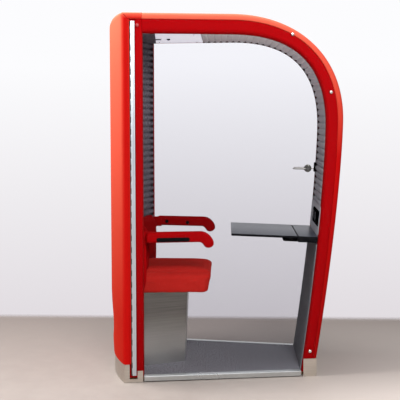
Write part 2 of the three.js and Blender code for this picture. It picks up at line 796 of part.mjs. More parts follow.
// Latch: a round case inside, a rose outside, one lever through both, and a bolt into the strike
const latchX = LATCH.x * LENGTH_SCALE;
const latchHole = sideBar(LATCH.x, LATCH.z, LATCH.spindle + GAP, FAR, [-60, 60]);
function boltBar(x0, x1, radius) {
  const geometry = new THREE.CylinderGeometry(radius, radius, x1 - x0, 12).rotateZ(Math.PI / 2);
  return geometry.translate((x0 + x1) / 2, FAR * LATCH.inset, LATCH.z);
}
const caseInset = [PANE + GAP, PANE + GAP + LATCH.case];
place(
  "latch_case",
  cut(
    sideBar(LATCH.x, LATCH.z, LATCH.rose, FAR, caseInset, 32),
    latchHole,
    boltBar(latchX + LATCH.spindle + 2, latchX + LATCH.rose + 5, BOLT.radius + GAP),
  ),
  stainless,
  sides[FAR],
);
place(
  "outer_rose",
  cut(sideBar(LATCH.x, LATCH.z, LATCH.rose, FAR, [-LATCH.roseHeight, -GAP], 32), latchHole),
  stainless,
  sides[FAR],
);
place(
  "latch_bolt",
  boltBar(latchX + LATCH.rose - 2, latchX + BOLT.reach, BOLT.radius),
  stainless,
  sides[FAR],
);

function doorLever() {
  const ends = [-LATCH.roseHeight - LEVER.standoff, caseInset[1] + LEVER.standoff];
  const spindle = sideBar(LATCH.x, LATCH.z, LATCH.spindle, FAR, ends);
  const grips = ends.map((inset) => {
    const grip = new THREE.CapsuleGeometry(LEVER.radius, LEVER.length, 4, 12);
    grip.rotateZ(Math.PI / 2);
    return grip.translate(latchX - LEVER.length / 2, FAR * inset, LATCH.z);
  });
  return join(spindle, ...grips);
}
place("door_lever", doorLever(), stainless, sides[FAR]);

// The strike is open towards the door and towards the bolt
const strikeInset = [faceInset[FAR], faceInset[FAR] + STRIKE.depth];
place(
  "strike_box",
  cut(
    sideBox(STRIKE.x, FAR, strikeInset, STRIKE.z),
    sideBox(
      [STRIKE.x[0] - 5, STRIKE.x[1] - 4],
      FAR,
      [0, LATCH.inset + BOLT.radius + 2],
      [LATCH.z - STRIKE.slot, LATCH.z + STRIKE.slot],
    ),
  ),
  black,
  sides[FAR],
);

// Seat: pedestal, board, cushion, back board and back cushion
function pedestal(wall, [z0, z1]) {
  const { rearX, frontX: lowX, topX, rearHalf, frontHalf, top } = SEAT_BOX;
  const ring = (z) => {
    const share = (z - CARPET_TOP) / (top - CARPET_TOP);
    const front = THREE.MathUtils.lerp(lowX, topX, share) - wall;
    return [
      new THREE.Vector3(rearX + wall, -rearHalf + wall, z),
      new THREE.Vector3(front, -frontHalf + wall, z),
      new THREE.Vector3(front, frontHalf - wall, z),
      new THREE.Vector3(rearX + wall, rearHalf - wall, z),
    ];
  };
  return loft([ring(z0), ring(z1)]);
}
place(
  "seat_box",
  cut(
    pedestal(0, [CARPET_TOP + GAP, SEAT_BOX.top - GAP]),
    pedestal(SEAT_BOX.sheet, [CARPET_TOP - 10, SEAT_BOX.top - SEAT_BOX.sheet]),
  ),
  brushed,
);
const boardCorners = SEAT_BOARD.x.map((x, i) => [x, SEAT_BOARD.half[i]]);
place(
  "seat_board",
  slab(
    [...boardCorners.map(([x, y]) => [x, -y]), ...boardCorners.reverse()],
    [SEAT_BOX.top, SEAT.bottom - GAP],
  ),
  plywood,
);

// One level of the seat cushion: a curved rear edge, straight sides and round front corners
function seatRing(z, front, inset) {
  const side = (x) => SEAT_HALF.rear - SEAT_HALF.taper * x - inset;
  const rearHalf = side(SEAT_HALF.rearX);
  const points = spread(-rearHalf, rearHalf, 6).map((y) => [liningFront(y) + 3 + inset, y]);
  const end = front - inset;
  const corner = SEAT.corner;
  const round = spread(0, Math.PI / 2, 3).map((turn) => [
    end - corner + corner * Math.sin(turn),
    side(end - corner) - corner + corner * Math.cos(turn),
  ]);
  points.push(...round, ...round.map(([x, y]) => [x, -y]).reverse());
  return points.map(([x, y]) => new THREE.Vector3(x, y, z));
}
const seatLevels = [
  [SEAT.bottom, SEAT.footX, 7],
  [SEAT.bottom + 6, SEAT.footX + 1, 1],
  [SEAT.bottom + 50, SEAT.footX + 10, 3],
  [SEAT.crease - 24, SEAT.frontX, 0],
  [SEAT.crease - 8, SEAT.frontX, 3],
  [SEAT.crease, SEAT.frontX, 12],
  [SEAT.crease + 6, SEAT.frontX, 40],
  [SEAT.crown - 2, SEAT.frontX, 90],
  [SEAT.crown, SEAT.frontX, 140],
];
place("seat_cushion", loft(seatLevels.map((level) => seatRing(...level))), deepRedFabric);

const boardHalf = BACK.half - BACK_BOARD.margin;
const boardLine = (offset) =>
  spread(-boardHalf, boardHalf, 8).map((y) => [liningFront(y) + offset, y]);
place(
  "back_board",
  slab(
    [...boardLine(BACK_BOARD.thickness).reverse(), ...boardLine(0.5)],
    [BACK_BOARD.bottom, BACK_BOARD.top],
  ),
  plywood,
);

// The back cushion is cut square across at each station and swells between its edges
function backCushion() {
  const height = BACK.top - BACK.bottom;
  const ends = [0.9, 1];
  const stations = spread(-BACK.half, BACK.half, 14);
  const rings = stations.map((y, i) => {
    const fullness = ends[Math.min(i, stations.length - 1 - i, ends.length - 1)];
    const rear = liningFront(y) + BACK_BOARD.thickness + 2 * GAP;
    const front = BACK.middleX + BACK.radius - Math.sqrt(BACK.radius ** 2 - y * y);
    const face = spread(0, 1, 8).map((share) => {
      const swell = BACK.bulge * Math.sin(Math.PI * share) ** 0.7;
      const depth = (front + swell - rear) * fullness;
      const edge = share === 0 || share === 1 ? 0.75 : 1;
      return new THREE.Vector3(rear + depth * edge, y, BACK.bottom + share * height);
    });
    const top = new THREE.Vector3(rear, y, BACK.top - BACK.edge);
    const bottom = new THREE.Vector3(rear, y, BACK.bottom + BACK.edge);
    return [...face, top, bottom];
  });
  return loft(rings);
}
place("back_cushion", backCushion(), deepRedFabric);

// Armrests, which fold up on pins in their brackets. Their x is true at the middle of the arm.
const armShift = (ARM.inset + ARM.width / 2) * Math.sin(ANGLE);
function armShape() {
  const shape = new THREE.Shape();
  const { rear, top, bottom } = ARM;
  shape.moveTo(rear, bottom + 14);
  shape.quadraticCurveTo(rear, bottom, rear + 14, bottom);
  shape.lineTo(440, bottom);
  shape.quadraticCurveTo(461, bottom, 472, 820);
  shape.bezierCurveTo(484, 797, 520, 800, 530, 822);
  shape.bezierCurveTo(540, 846, 506, top, 452, top);
  shape.lineTo(rear + 24, top);
  shape.quadraticCurveTo(rear, top, rear, top - 24);
  const points = shape.getPoints(6).slice(1);
  return onGlass(points.map((p) => [p.x + armShift, p.y]));
}

const armPivotX = ARM_PIVOT.x + armShift;
for (const side of [NEAR, FAR]) {
  const name = side === NEAR ? "near" : "far";
  const inset = [ARM.inset, ARM.inset + ARM.width];
  const parent = sides[side];
  const { z: pivotZ, bore: boreRadius, play, depth } = ARM_PIVOT;
  const boreInset = [inset[1] - depth - 4, inset[1] + 5];
  const bore = sideBar(armPivotX, pivotZ, boreRadius, side, boreInset);
  const arm = cut(plate(armShape(), side, inset, ARM.edge), bore);
  place(`${name}_armrest`, arm, deepRedFabric, parent);

  const tabInset = [FRAME_INNER + GAP, FRAME_INNER + GAP + ARM_BRACKET.thickness];
  const bracketX = [STILE_X[1], armPivotX + ARM_BRACKET.past];
  const bracketZ = [pivotZ - ARM_BRACKET.below, pivotZ + ARM_BRACKET.above];
  const pinInset = [inset[1] - depth, tabInset[1] - 1];
  const bracket = join(
    sideBox(bracketX, side, tabInset, bracketZ),
    sideBar(armPivotX, pivotZ, boreRadius - play, side, pinInset),
  );
  place(`${name}_arm_bracket`, bracket, black, parent);
}

const plateInset = [ARM.inset - GAP - ARM_PLATE.thickness, ARM.inset - GAP];
place(
  "near_arm_plate",
  sideBox(ARM_PLATE.x.map((x) => x + armShift), NEAR, plateInset, ARM_PLATE.z),
  black,
  sides[NEAR],
);

// Table: shelf on the wall, leaf hinged along its edge, and two brackets under the joint
const table = new THREE.Group();
table.position.set(TABLE.jointX, 0, TABLE.z);
table.rotation.y = THREE.MathUtils.degToRad(TABLE.tilt);
datum.add(table);

// A profile in side view, extruded across the table
function acrossTable(points, [y0, y1]) {
  const options = { depth: y1 - y0, bevelEnabled: false };
  const geometry = new THREE.ExtrudeGeometry(outline(points), options);
  return geometry.rotateX(Math.PI / 2).translate(0, y1, 0);
}

const { half, leaf, leafThick, shelfThick } = TABLE;
const { rebate, rebateDepth, radius: hingeRadius, drop } = TABLE_HINGE;
const joint = 0.5;
place(
  "table_leaf",
  acrossTable(
    [
      [-leaf, -leafThick],
      [-joint, -leafThick],
      [-joint, -rebateDepth],
      [-rebate, -rebateDepth],
      [-rebate, 0],
      [-leaf, 0],
    ],
    [-half, half],
  ),
  charcoal,
  table,
);
place(
  "table_shelf",
  acrossTable(
    [
      [joint, -shelfThick],
      [TABLE_SHELF, -shelfThick],
      [TABLE_SHELF + 3, 0],
      [rebate, 0],
      [rebate, -rebateDepth],
      [joint, -rebateDepth],
    ],
    [-half, half],
  ),
  charcoal,
  table,
);
const tablePin = new THREE.CylinderGeometry(hingeRadius, hingeRadius, 2 * half - 10, 12);
place("table_hinge_pin", tablePin.translate(0, 0, -drop), stainless, table);
[-1, 1].forEach((sign) => {
  const { length, width, depth, y } = TABLE_BRACKET;
  const z = [-leafThick - GAP - depth, -leafThick - GAP];
  const across = [sign * y - width / 2, sign * y + width / 2];
  const name = sign < 0 ? "near_table_bracket" : "far_table_bracket";
  place(name, box([-length, joint - GAP], across, z), black, table);
});

export default pod;
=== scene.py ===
# %% [markdown]
# An acoustic office pod for one person. A padded red shell bows out behind the seat, runs over the
# roof and comes down in front of the table. Both long sides are glass, and the far one is the door.
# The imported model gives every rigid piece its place. This lesson dresses it: first the camera and
# the stage, then the finishes, then the padded and ribbed pieces, and last the small fittings.

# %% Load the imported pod
import math

import bmesh
import bpy
from mathutils import Matrix, Vector


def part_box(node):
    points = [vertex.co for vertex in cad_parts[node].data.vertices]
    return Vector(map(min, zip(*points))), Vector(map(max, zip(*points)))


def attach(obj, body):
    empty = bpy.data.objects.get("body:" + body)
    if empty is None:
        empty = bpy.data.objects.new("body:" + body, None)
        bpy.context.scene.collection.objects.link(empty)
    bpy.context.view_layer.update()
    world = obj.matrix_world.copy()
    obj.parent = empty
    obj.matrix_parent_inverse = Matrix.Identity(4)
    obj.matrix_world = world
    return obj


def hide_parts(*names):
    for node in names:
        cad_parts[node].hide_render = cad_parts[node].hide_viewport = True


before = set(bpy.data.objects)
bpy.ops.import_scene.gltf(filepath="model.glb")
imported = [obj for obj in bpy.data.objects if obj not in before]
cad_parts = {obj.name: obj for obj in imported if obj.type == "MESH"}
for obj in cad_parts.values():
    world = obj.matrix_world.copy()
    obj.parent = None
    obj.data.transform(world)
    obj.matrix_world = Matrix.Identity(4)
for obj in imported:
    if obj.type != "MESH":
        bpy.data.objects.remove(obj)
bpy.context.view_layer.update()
bpy.ops.object.select_all(action="DESELECT")

# %% [markdown]
# The picture was taken from eye height, about five metres away, with the near glass almost
# square to the view. Upright edges stay nearly parallel in it. A camera that looked down at the
# middle of the pod would make them converge, so it tilts down only a little and a small lens shift
# does the rest.

# %% Camera
PICTURE = 400  # pixels along each side of the picture
FOCAL = 818.9  # focal length in pixels
EYE = (0.0046, -5.2307, 1.641)
TILT_DOWN, TURN_LEFT = math.radians(4.4245), 0.03055

bpy.ops.object.camera_add(location=EYE, rotation=(math.pi / 2 - TILT_DOWN, 0, TURN_LEFT))
camera = bpy.context.object
camera.data.lens = camera.data.sensor_width * FOCAL / PICTURE
camera.data.shift_y = -0.07
bpy.context.scene.camera = camera
bpy.context.scene.view_settings.view_transform = "Standard"
print("lens:", round(camera.data.lens, 2), "mm")

# %% [markdown]
# A node tree is easier to read when each node, its settings and its links stand in one call. Colours
# are written as they look on a screen, and one function turns them to the linear light that shaders
# count in. Every material reads the place on its piece in metres, so a pattern has its real size.

# %% Helpers for node trees
MIX_A, MIX_B, MIXED = 6, 7, 2  # sockets of a Mix node that mixes colours


def node(tree, kind, inputs=None, **settings):
    """Adds a node with its settings, and sets or links each input by its name or its number. A node
    that is given as an input is linked from its main output."""
    made = tree.nodes.new("ShaderNode" + kind)
    for name, value in settings.items():
        setattr(made, name, value)
    for name, value in (inputs or {}).items():
        if isinstance(value, bpy.types.Node):
            value = value.outputs[MIXED if getattr(value, "data_type", "") == "RGBA" else 0]
        if isinstance(value, bpy.types.NodeSocket):
            tree.links.new(value, made.inputs[name])
        else:
            made.inputs[name].default_value = value
    return made


def linear(code):
    """A colour code such as #B41E1E as linear red, green, blue and a full alpha."""
    parts = [int(code[i : i + 2], 16) / 255 for i in (1, 3, 5)]
    return [c / 12.92 if c <= 0.04045 else ((c + 0.055) / 1.055) ** 2.4 for c in parts] + [1.0]


def new_material(name):
    """An empty material, its node tree, and the place on the piece."""
    material = bpy.data.materials.new(name)
    material.use_nodes = True
    tree = material.node_tree
    tree.nodes.clear()
    return material, tree, node(tree, "TexCoord").outputs["Object"]


print("mid grey in linear light:", round(linear("#808080")[0], 3))

# %% [markdown]
# The room is white. The world shows a soft white wall to the camera and to mirrors, a little greyer
# towards the floor. The light it gives the pod is weaker and comes mostly from the left, as from a
# window wall. Real walls could do both, but a world takes no room and never hides the pod, and the
# Light Path node lets what is seen differ from what lights.

# %% Stage: world
WALL_HIGH, WALL_LOW, DAYLIGHT = "#FCFCFE", "#DCD6DB", "#FBFAFF"
WINDOW_LIGHT, FAR_LIGHT = 0.26, 0.18  # world light from the left and from the right

world = bpy.data.worlds.new("white_room")
bpy.context.scene.world = world
world.use_nodes = True
tree = world.node_tree
tree.nodes.clear()
ray = node(tree, "LightPath").outputs
mirrored = node(
    tree, "Math", {0: ray["Is Glossy Ray"], 1: ray["Is Transmission Ray"]}, operation="MAXIMUM"
)
shown = node(tree, "Math", {0: ray["Is Camera Ray"], 1: mirrored}, operation="MAXIMUM")
way = node(tree, "SeparateXYZ", {0: node(tree, "TexCoord").outputs["Generated"]}).outputs
rise = node(tree, "MapRange", {"Value": way["Z"], "From Min": -0.3, "From Max": 0.05})
lights = {"To Min": WINDOW_LIGHT, "To Max": FAR_LIGHT}
light = node(tree, "MapRange", {"Value": way["X"], "From Min": -0.8, "From Max": 0.8, **lights})
wall = node(
    tree, "Mix", {0: rise, MIX_A: linear(WALL_LOW), MIX_B: linear(WALL_HIGH)}, data_type="RGBA"
)
backdrop = node(tree, "Background", {"Color": wall, "Strength": 1.0})
daylight = node(tree, "Background", {"Color": linear(DAYLIGHT), "Strength": light})
both = node(tree, "MixShader", {0: shown, 1: daylight, 2: backdrop})
node(tree, "OutputWorld", {"Surface": both})
print("world light:", WINDOW_LIGHT, "from the left,", FAR_LIGHT, "from the right")

# %% [markdown]
# The floor is pale laminate: one plane that ends in a soft edge where the wall would stand, so it
# never hides the pod from behind and still takes its shadow. It is painted paler to the right, as
# painted light, and darker towards the wall, as painted shade.

# %% Stage: floor
FLOOR_GRAIN, FLOOR_TONE, FLOOR_RIGHT, FLOOR_FAR = "#8F857F", "#A0968F", "#E2D6CE", "#776C66"
FLOOR_MIDDLE, FLOOR_REACH = (0.0, -2.4), (5.2, 3.52)  # metres, to where the floor fades out

bpy.ops.mesh.primitive_plane_add(size=13, location=(0, -1.5, -0.001))
floor = bpy.context.object
floor.name = "floor"
bpy.ops.object.transform_apply(location=True)
floor_finish, tree, spot = new_material("pale_laminate_floor")
grain = node(tree, "TexNoise", {"Vector": spot, "Scale": 1 / 0.12, "Detail": 5.0, "Roughness": 0.65})
flat = node(tree, "SeparateXYZ", {0: spot}).outputs
# Painted light towards the right, and painted shade towards the wall.
painted_light_right = node(
    tree, "MapRange", {"Value": flat["X"], "From Min": -0.2, "From Max": 1.2, "To Max": 0.75}
)
painted_shade_far = node(tree, "MapRange", {"Value": flat["Y"], "From Min": -0.6, "From Max": 1.1})
tone = linear(FLOOR_GRAIN)
for share, other in ((grain, FLOOR_TONE), (painted_light_right, FLOOR_RIGHT), (painted_shade_far, FLOOR_FAR)):
    tone = node(tree, "Mix", {0: share, MIX_A: tone, MIX_B: linear(other)}, data_type="RGBA")
surface = node(tree, "BsdfPrincipled", {"Base Color": tone, "Roughness": 0.55})
reach = []
for axis, middle, extent in zip("XY", FLOOR_MIDDLE, FLOOR_REACH):
    from_middle = node(tree, "Math", {0: flat[axis], 1: middle}, operation="SUBTRACT")
    share = node(tree, "Math", {0: from_middle, 1: extent}, operation="DIVIDE")
    square = node(tree, "Math", {0: share, 1: 2.0}, operation="POWER")
    reach.append(node(tree, "Math", {0: square, 1: 3.0}, operation="POWER"))
far_off = node(tree, "Math", {0: reach[0], 1: reach[1]})
edge = {"Value": far_off, "From Min": 0.88, "From Max": 1.14}
fade = node(tree, "MapRange", edge, interpolation_type="SMOOTHSTEP")
faded = node(tree, "MixShader", {0: fade, 1: surface, 2: node(tree, "BsdfTransparent")})
node(tree, "OutputMaterial", {"Surface": faded})
floor.data.materials.append(floor_finish)
print("floor fades out near y =", round(FLOOR_MIDDLE[1] + FLOOR_REACH[1], 2))

# %% [markdown]
# Soft boxes stand where a photographer would put them: a strong one high to the left, which brightens
# the bowed back from the top down, one to the right of the camera, which reaches into the cabin, and
# a weak one overhead, which catches the round upper edge of the roof.

# %% Stage: lamps
AIM = Vector((0, 0, 1.05))
SOFT_BOXES = {  # place, size in metres, power in watts
    "key_box": ((-2.6, -0.2, 5.0), 2.0, 400),
    "front_box": ((1.0, -4.4, 3.6), 1.8, 195),
    "overhead_box": ((0.3, -0.3, 4.5), 1.6, 45),
}
for name, (place, size, power) in SOFT_BOXES.items():
    bpy.ops.object.light_add(type="AREA", location=place)
    lamp = bpy.context.object
    lamp.name = name
    lamp.rotation_euler = (AIM - Vector(place)).to_track_quat("-Z", "Y").to_euler()
    lamp.data.size, lamp.data.energy = size, power
print("lamps:", len(SOFT_BOXES))

# %% [markdown]
# The padding is covered in wool upholstery, woven and lightly felted. To the eye that is a matt red
# with a heathered tone, a fine basket weave and a bright bloom where the pile is seen from the side.
# Sheen gives the bloom. Real yarn is about 1.5 mm thick, too fine to show, so weave and heather are
# drawn several times coarser. Outside, light is painted into the cloth: it turns towards coral higher
# up, most of all near the top, and on the back only where it faces away from the glass. The front wall
# has painted shade, deepest near its foot.

# %% Finish: wool upholstery
WAVE_TURN = math.pi / 10  # a wave texture's period in metres, times its scale
YARN, CLOUD = 0.006, 0.3  # metres: a thread as drawn, and a patch of lighter or darker cloth


def painted_light_tone(tree, tone, spot, other, low, high, off_glass=False):
    """Paints light or shade into a tone: mixes it towards another one between two heights. With
    off_glass, a face beside the glass keeps its tone except at the very top."""
    height = node(tree, "SeparateXYZ", {0: spot}).outputs["Z"]
    share = node(tree, "MapRange", {"Value": height, "From Min": low, "From Max": high})
    if off_glass:
        facing = node(tree, "TexCoord").outputs["Normal"]
        across = node(tree, "SeparateXYZ", {0: facing}).outputs["Y"]
        to_glass = node(tree, "Math", {0: across}, operation="ABSOLUTE")
        away = node(tree, "MapRange", {"Value": to_glass, "From Min": 1.0, "From Max": 0.45})
        at_top = node(tree, "MapRange", {"Value": height, "From Min": 2.165, "From Max": 2.2})
        lit_faces = node(tree, "Math", {0: away, 1: at_top}, operation="MAXIMUM")
        share = node(tree, "Math", {0: share, 1: lit_faces}, operation="MULTIPLY")
    return node(tree, "Mix", {0: share, MIX_A: tone, MIX_B: linear(other)}, data_type="RGBA")


def finished(tree, tone, relief, strength, depth, look):
    """Ends a finish: its relief bumps the surface, and look holds what else the shader needs."""
    bump = node(tree, "Bump", {"Height": relief, "Strength": strength, "Distance": depth})
    surface = node(tree, "BsdfPrincipled", {"Base Color": tone, "Normal": bump, **look})
    node(tree, "OutputMaterial", {"Surface": surface})


def wool(name, deep, lit, bloom, sheen, heather=0.014, painted_lights=()):
    """bloom tints the sheen, heather is the size of a fleck in metres, and the fades are painted light
    and shade by height.
    """
    material, tree, spot = new_material(name)
    fleck = {"Vector": spot, "Scale": 1 / heather, "Detail": 4.0, "Roughness": 0.7}
    flecks = node(tree, "TexNoise", fleck)
    cloud = node(tree, "TexNoise", {"Vector": spot, "Scale": 1 / CLOUD, "Detail": 2.0})
    heathered = node(tree, "Math", {0: flecks, 1: 0.7, 2: 0.15}, operation="MULTIPLY_ADD")
    shade = node(tree, "Mix", {0: 0.3, 2: heathered, 3: cloud}, data_type="FLOAT")
    tone = node(tree, "Mix", {0: shade, MIX_A: linear(deep), MIX_B: linear(lit)}, data_type="RGBA")
    for fade in painted_lights:
        tone = painted_light_tone(tree, tone, spot, *fade)
    thread = {"Vector": spot, "Scale": WAVE_TURN / YARN, "Distortion": 1.2, "Detail": 1.0}
    weft, warp = (
        node(tree, "TexWave", thread, bands_direction=way).outputs["Fac"] for way in ("Z", "DIAGONAL")
    )
    weave = node(tree, "Math", {0: weft, 1: warp}, operation="MULTIPLY")
    nap = node(tree, "Math", {0: weave, 1: flecks})
    look = {
        "Roughness": 0.9, "Specular IOR Level": 0.05,
        "Sheen Weight": sheen, "Sheen Roughness": 0.45, "Sheen Tint": linear(bloom),
    }
    finished(tree, tone, nap, 0.35, 0.0012, look)
    return material


# The shell's coral towards the top is painted light.
shell_wool = wool(
    "shell_wool", "#B60A09", "#D0120F", "#FF8450", 0.11, painted_lights=[("#F26C52", 0.36, 2.2, True)]
)
# The arch's deep red near its foot is painted shade, and its coral near the top painted light.
arch_wool = wool(
    "arch_wool", "#8A0305", "#A20708", "#FF8A60", 0.06,
    painted_lights=[("#BA0C0C", 0.3, 1.5), ("#FA7258", 1.35, 2.4)],
)
frame_wool = wool("frame_wool", "#A20207", "#BC060C", "#F04A38", 0.05)
# A deeper copy of the red wool, as painted shade, for the back cushion, the far arm and its cover.
painted_shade_wool = wool("painted_shade_wool", "#840206", "#9C060A", "#C03028", 0.04)
seat_wool = wool("seat_wool", "#AC1A16", "#E8362E", "#E8604F", 0.2, heather=0.018)
# A near-black red that stands in for deep shade on the door side: painted shade.
shade_strip_wool = wool("painted_shade_strip_wool", "#400509", "#58090F", "#502020", 0.02)
seam_wool = wool("seam_wool", "#6A0407", "#80080B", "#A03028", 0.05)
print("wool finishes made, last:", seam_wool.name)

# %% [markdown]
# The cabin is lined with pressed polyester felt: no shine at all, a fleck of light and dark fibres,
# and a slightly furry surface. Single fibres are far too fine to show, so a fleck stands for a tuft of
# them. Shade is painted into the grooves between its ribs: the felt is darker where the attribute
# named groove says that a groove runs. Higher up, on the roof, the felt is painted paler, as painted
# light. The carpet is a loop pile in heather grey: its flecks stand out more and its surface is
# rougher. Its loops are about 4 mm wide and drawn twice as coarse.

# %% Finish: felt and carpet
GROOVE_SHADE = "#0E0C10"


def felt(name, deep, lit, fleck, fur, painted_lights=()):
    """fleck is the size of a fleck of fibres in metres, and fur the height of its relief."""
    material, tree, spot = new_material(name)
    fibre = {"Vector": spot, "Scale": 1 / fleck, "Detail": 6.0, "Roughness": 0.75}
    fibres = node(tree, "TexNoise", fibre)
    shade = node(tree, "MapRange", {"Value": fibres, "From Min": 0.32, "From Max": 0.68})
    tone = node(tree, "Mix", {0: shade, MIX_A: linear(deep), MIX_B: linear(lit)}, data_type="RGBA")
    for fade in painted_lights:
        tone = painted_light_tone(tree, tone, spot, *fade)
    # Painted shade in the grooves.
    groove = node(tree, "Attribute", attribute_name="groove").outputs["Fac"]
    dark = linear(GROOVE_SHADE)
    shaded = node(tree, "Mix", {0: groove, MIX_A: tone, MIX_B: dark}, data_type="RGBA")
    finished(tree, shaded, fibres, 0.6, fur, {"Roughness": 1.0, "Specular IOR Level": 0.1})
    return material


dark_felt = felt("dark_ribbed_felt", "#443F48", "#948E98", 0.014, 0.0015)
# The roof's paler felt is painted light.
grey_felt = felt(
    "grey_ribbed_felt", "#B8BABF", "#E2E4E8", 0.014, 0.0015, painted_lights=[("#FAFBFF", 1.3, 1.9)]
)
low_felt = felt("smooth_grey_felt", "#6A6D70", "#9A9DA1", 0.012, 0.001)
loop_pile = felt("loop_pile_carpet", "#2A2A2F", "#C0BFC6", 0.0085, 0.003)
print("felt finishes made, last:", loop_pile.name)

# %% [markdown]
# The metals differ in how they were worked. Plinths and the seat pedestal are stainless sheet,
# brushed in one direction, and the lever is brushed along its bar. The glazing profile and the sills
# are extruded and anodised, with faint lines along their length. The glass caps are polished, and
# the roses have a satin finish. Brush lines are a noise drawn long one way and short the other. Real
# brush marks are under 0.2 mm, so they are drawn coarser.


# %% Finish: metals
def worked_metal(name, deep, lit, mark, smudge, roughness, swing, painted_lights=()):
    """mark is the length of a brush mark along x, y and z, smudge the size of a duller patch, and
    swing how far its roughness goes up and down."""
    material, tree, spot = new_material(name)
    drawn = node(tree, "Mapping", {"Vector": spot, "Scale": [1 / length for length in mark]})
    marks = node(tree, "TexNoise", {"Vector": drawn, "Scale": 1.0, "Detail": 4.0})
    smudges = node(tree, "TexNoise", {"Vector": spot, "Scale": 1 / smudge, "Detail": 2.0})
    tone = node(tree, "Mix", {0: marks, MIX_A: linear(deep), MIX_B: linear(lit)}, data_type="RGBA")
    for fade in painted_lights:
        tone = painted_light_tone(tree, tone, spot, *fade)
    limits = {"To Min": roughness - swing, "To Max": roughness + swing}
    rough = node(tree, "MapRange", {"Value": smudges, "From Min": 0.3, "From Max": 0.7, **limits})
    finished(tree, tone, marks, 0.1, 0.0003, {"Metallic": 1.0, "Roughness": rough})
    return material


plinth_steel = worked_metal(
    "brushed_stainless_plinth", "#A9A096", "#C9C1B7", (0.3, 0.3, 0.004), 0.15, 0.38, 0.05
)
# Its foot is painted paler, and its top darker under the seat: painted light and shade.
seat_steel = worked_metal(
    "brushed_stainless_pedestal", "#5C5A56", "#86847F", (0.25, 0.25, 0.005), 0.2, 0.36, 0.06,
    painted_lights=[("#D6D6D2", 0.36, -0.03)],
)
profile_aluminium = worked_metal(
    "anodised_profile", "#B8BDC3", "#D3D9DF", (0.004, 0.004, 0.6), 0.3, 0.34, 0.04
)
sill_aluminium = worked_metal(
    "anodised_sill", "#A9ABAB", "#C4C6C5", (0.6, 0.004, 0.004), 0.3, 0.3, 0.05
)
polished_steel = worked_metal(
    "polished_steel", "#BDBCB8", "#D2D1CD", (0.02, 0.02, 0.02), 0.05, 0.18, 0.04
)
brushed_steel = worked_metal(
    "brushed_lever_steel", "#9C9A96", "#B6B4AF", (0.04, 0.04, 0.003), 0.05, 0.4, 0.05
)
satin_steel = worked_metal(
    "satin_steel", "#5A5855", "#7A7873", (0.03, 0.03, 0.003), 0.05, 0.27, 0.05
)
print("metal finishes made, last:", satin_steel.name)

# %% [markdown]
# Moulded plastic has a fine spark-eroded grain, and powder coat a slight orange peel. Both are one
# colour to the eye, but a little bump breaks up their shine. Real grain is finer than 0.1 mm, so it is
# drawn coarser. The table is laminate on board: a charcoal top with a faint cloud, and black edges.
# Rubber and the woven seal are dull, red lacquer is glossy, and the plywood under it all is a pale
# brown. They differ in numbers and not in kind, so one function makes them all.

# %% Finish: plastic, powder coat and laminate
TONE_PATCH = 0.09  # metres


def coated(name, deep, lit, grain, depth, roughness, gloss=0.5):
    """grain is the size of the relief's grain in metres, and depth its height."""
    material, tree, spot = new_material(name)
    peel = node(tree, "TexNoise", {"Vector": spot, "Scale": 1 / grain, "Detail": 3.0})
    cloud = node(tree, "TexNoise", {"Vector": spot, "Scale": 1 / TONE_PATCH, "Detail": 3.0})
    tone = node(tree, "Mix", {0: cloud, MIX_A: linear(deep), MIX_B: linear(lit)}, data_type="RGBA")
    finished(tree, tone, peel, 0.25, depth, {"Roughness": roughness, "Specular IOR Level": gloss})
    return material


black_plastic = coated("moulded_black_plastic", "#09090B", "#101013", 0.003, 0.0004, 0.55, 0.05)
brush_seal = coated("woven_brush_seal", "#3A3130", "#5A4E4C", 0.004, 0.0008, 0.85, 0.1)
black_rubber = coated("rubber_seal", "#0E0E0F", "#171718", 0.006, 0.0004, 0.8, 0.1)
matt_black = coated("matt_black_plastic", "#060607", "#0A0A0C", 0.003, 0.0003, 0.8, 0.0)
socket_grey = coated("grey_socket_plastic", "#67676C", "#7C7C82", 0.004, 0.0003, 0.6, 0.2)
red_coat = coated("red_lacquer", "#A8282B", "#B83235", 0.006, 0.0003, 0.4)
grey_coat = coated("grey_powder_coat", "#D2D3D7", "#E2E3E6", 0.006, 0.0003, 0.6, 0.2)
laminate_top = coated("charcoal_laminate", "#383C45", "#4A4E58", 0.004, 0.0003, 0.34)
laminate_edge = coated("black_edge_band", "#0A0A0D", "#121216", 0.005, 0.0002, 0.4, 0.08)
plywood = coated("birch_plywood", "#B0875A", "#C9A274", 0.01, 0.0004, 0.7)
print("coated finishes made, last:", plywood.name)

# %% [markdown]
# The panes are clear toughened glass, 8 mm thick. Seen square on they almost vanish; seen from the
# side they mirror the room. Bending light through a slab would cost noise and keep the lamps out of
# the cabin, so the glass is a see-through shader with a mirror on the faces that the ray enters. The
# mirror's share is the square of a Fresnel term, which keeps the square view clear. Dust and fingers
# leave a faint grey film, more of it lower down.

# %% Finish: glass
FILM_LOW, FILM_HIGH, MIRROR_TINT = "#F5F5F6", "#FDFDFE", "#F3F6F7"

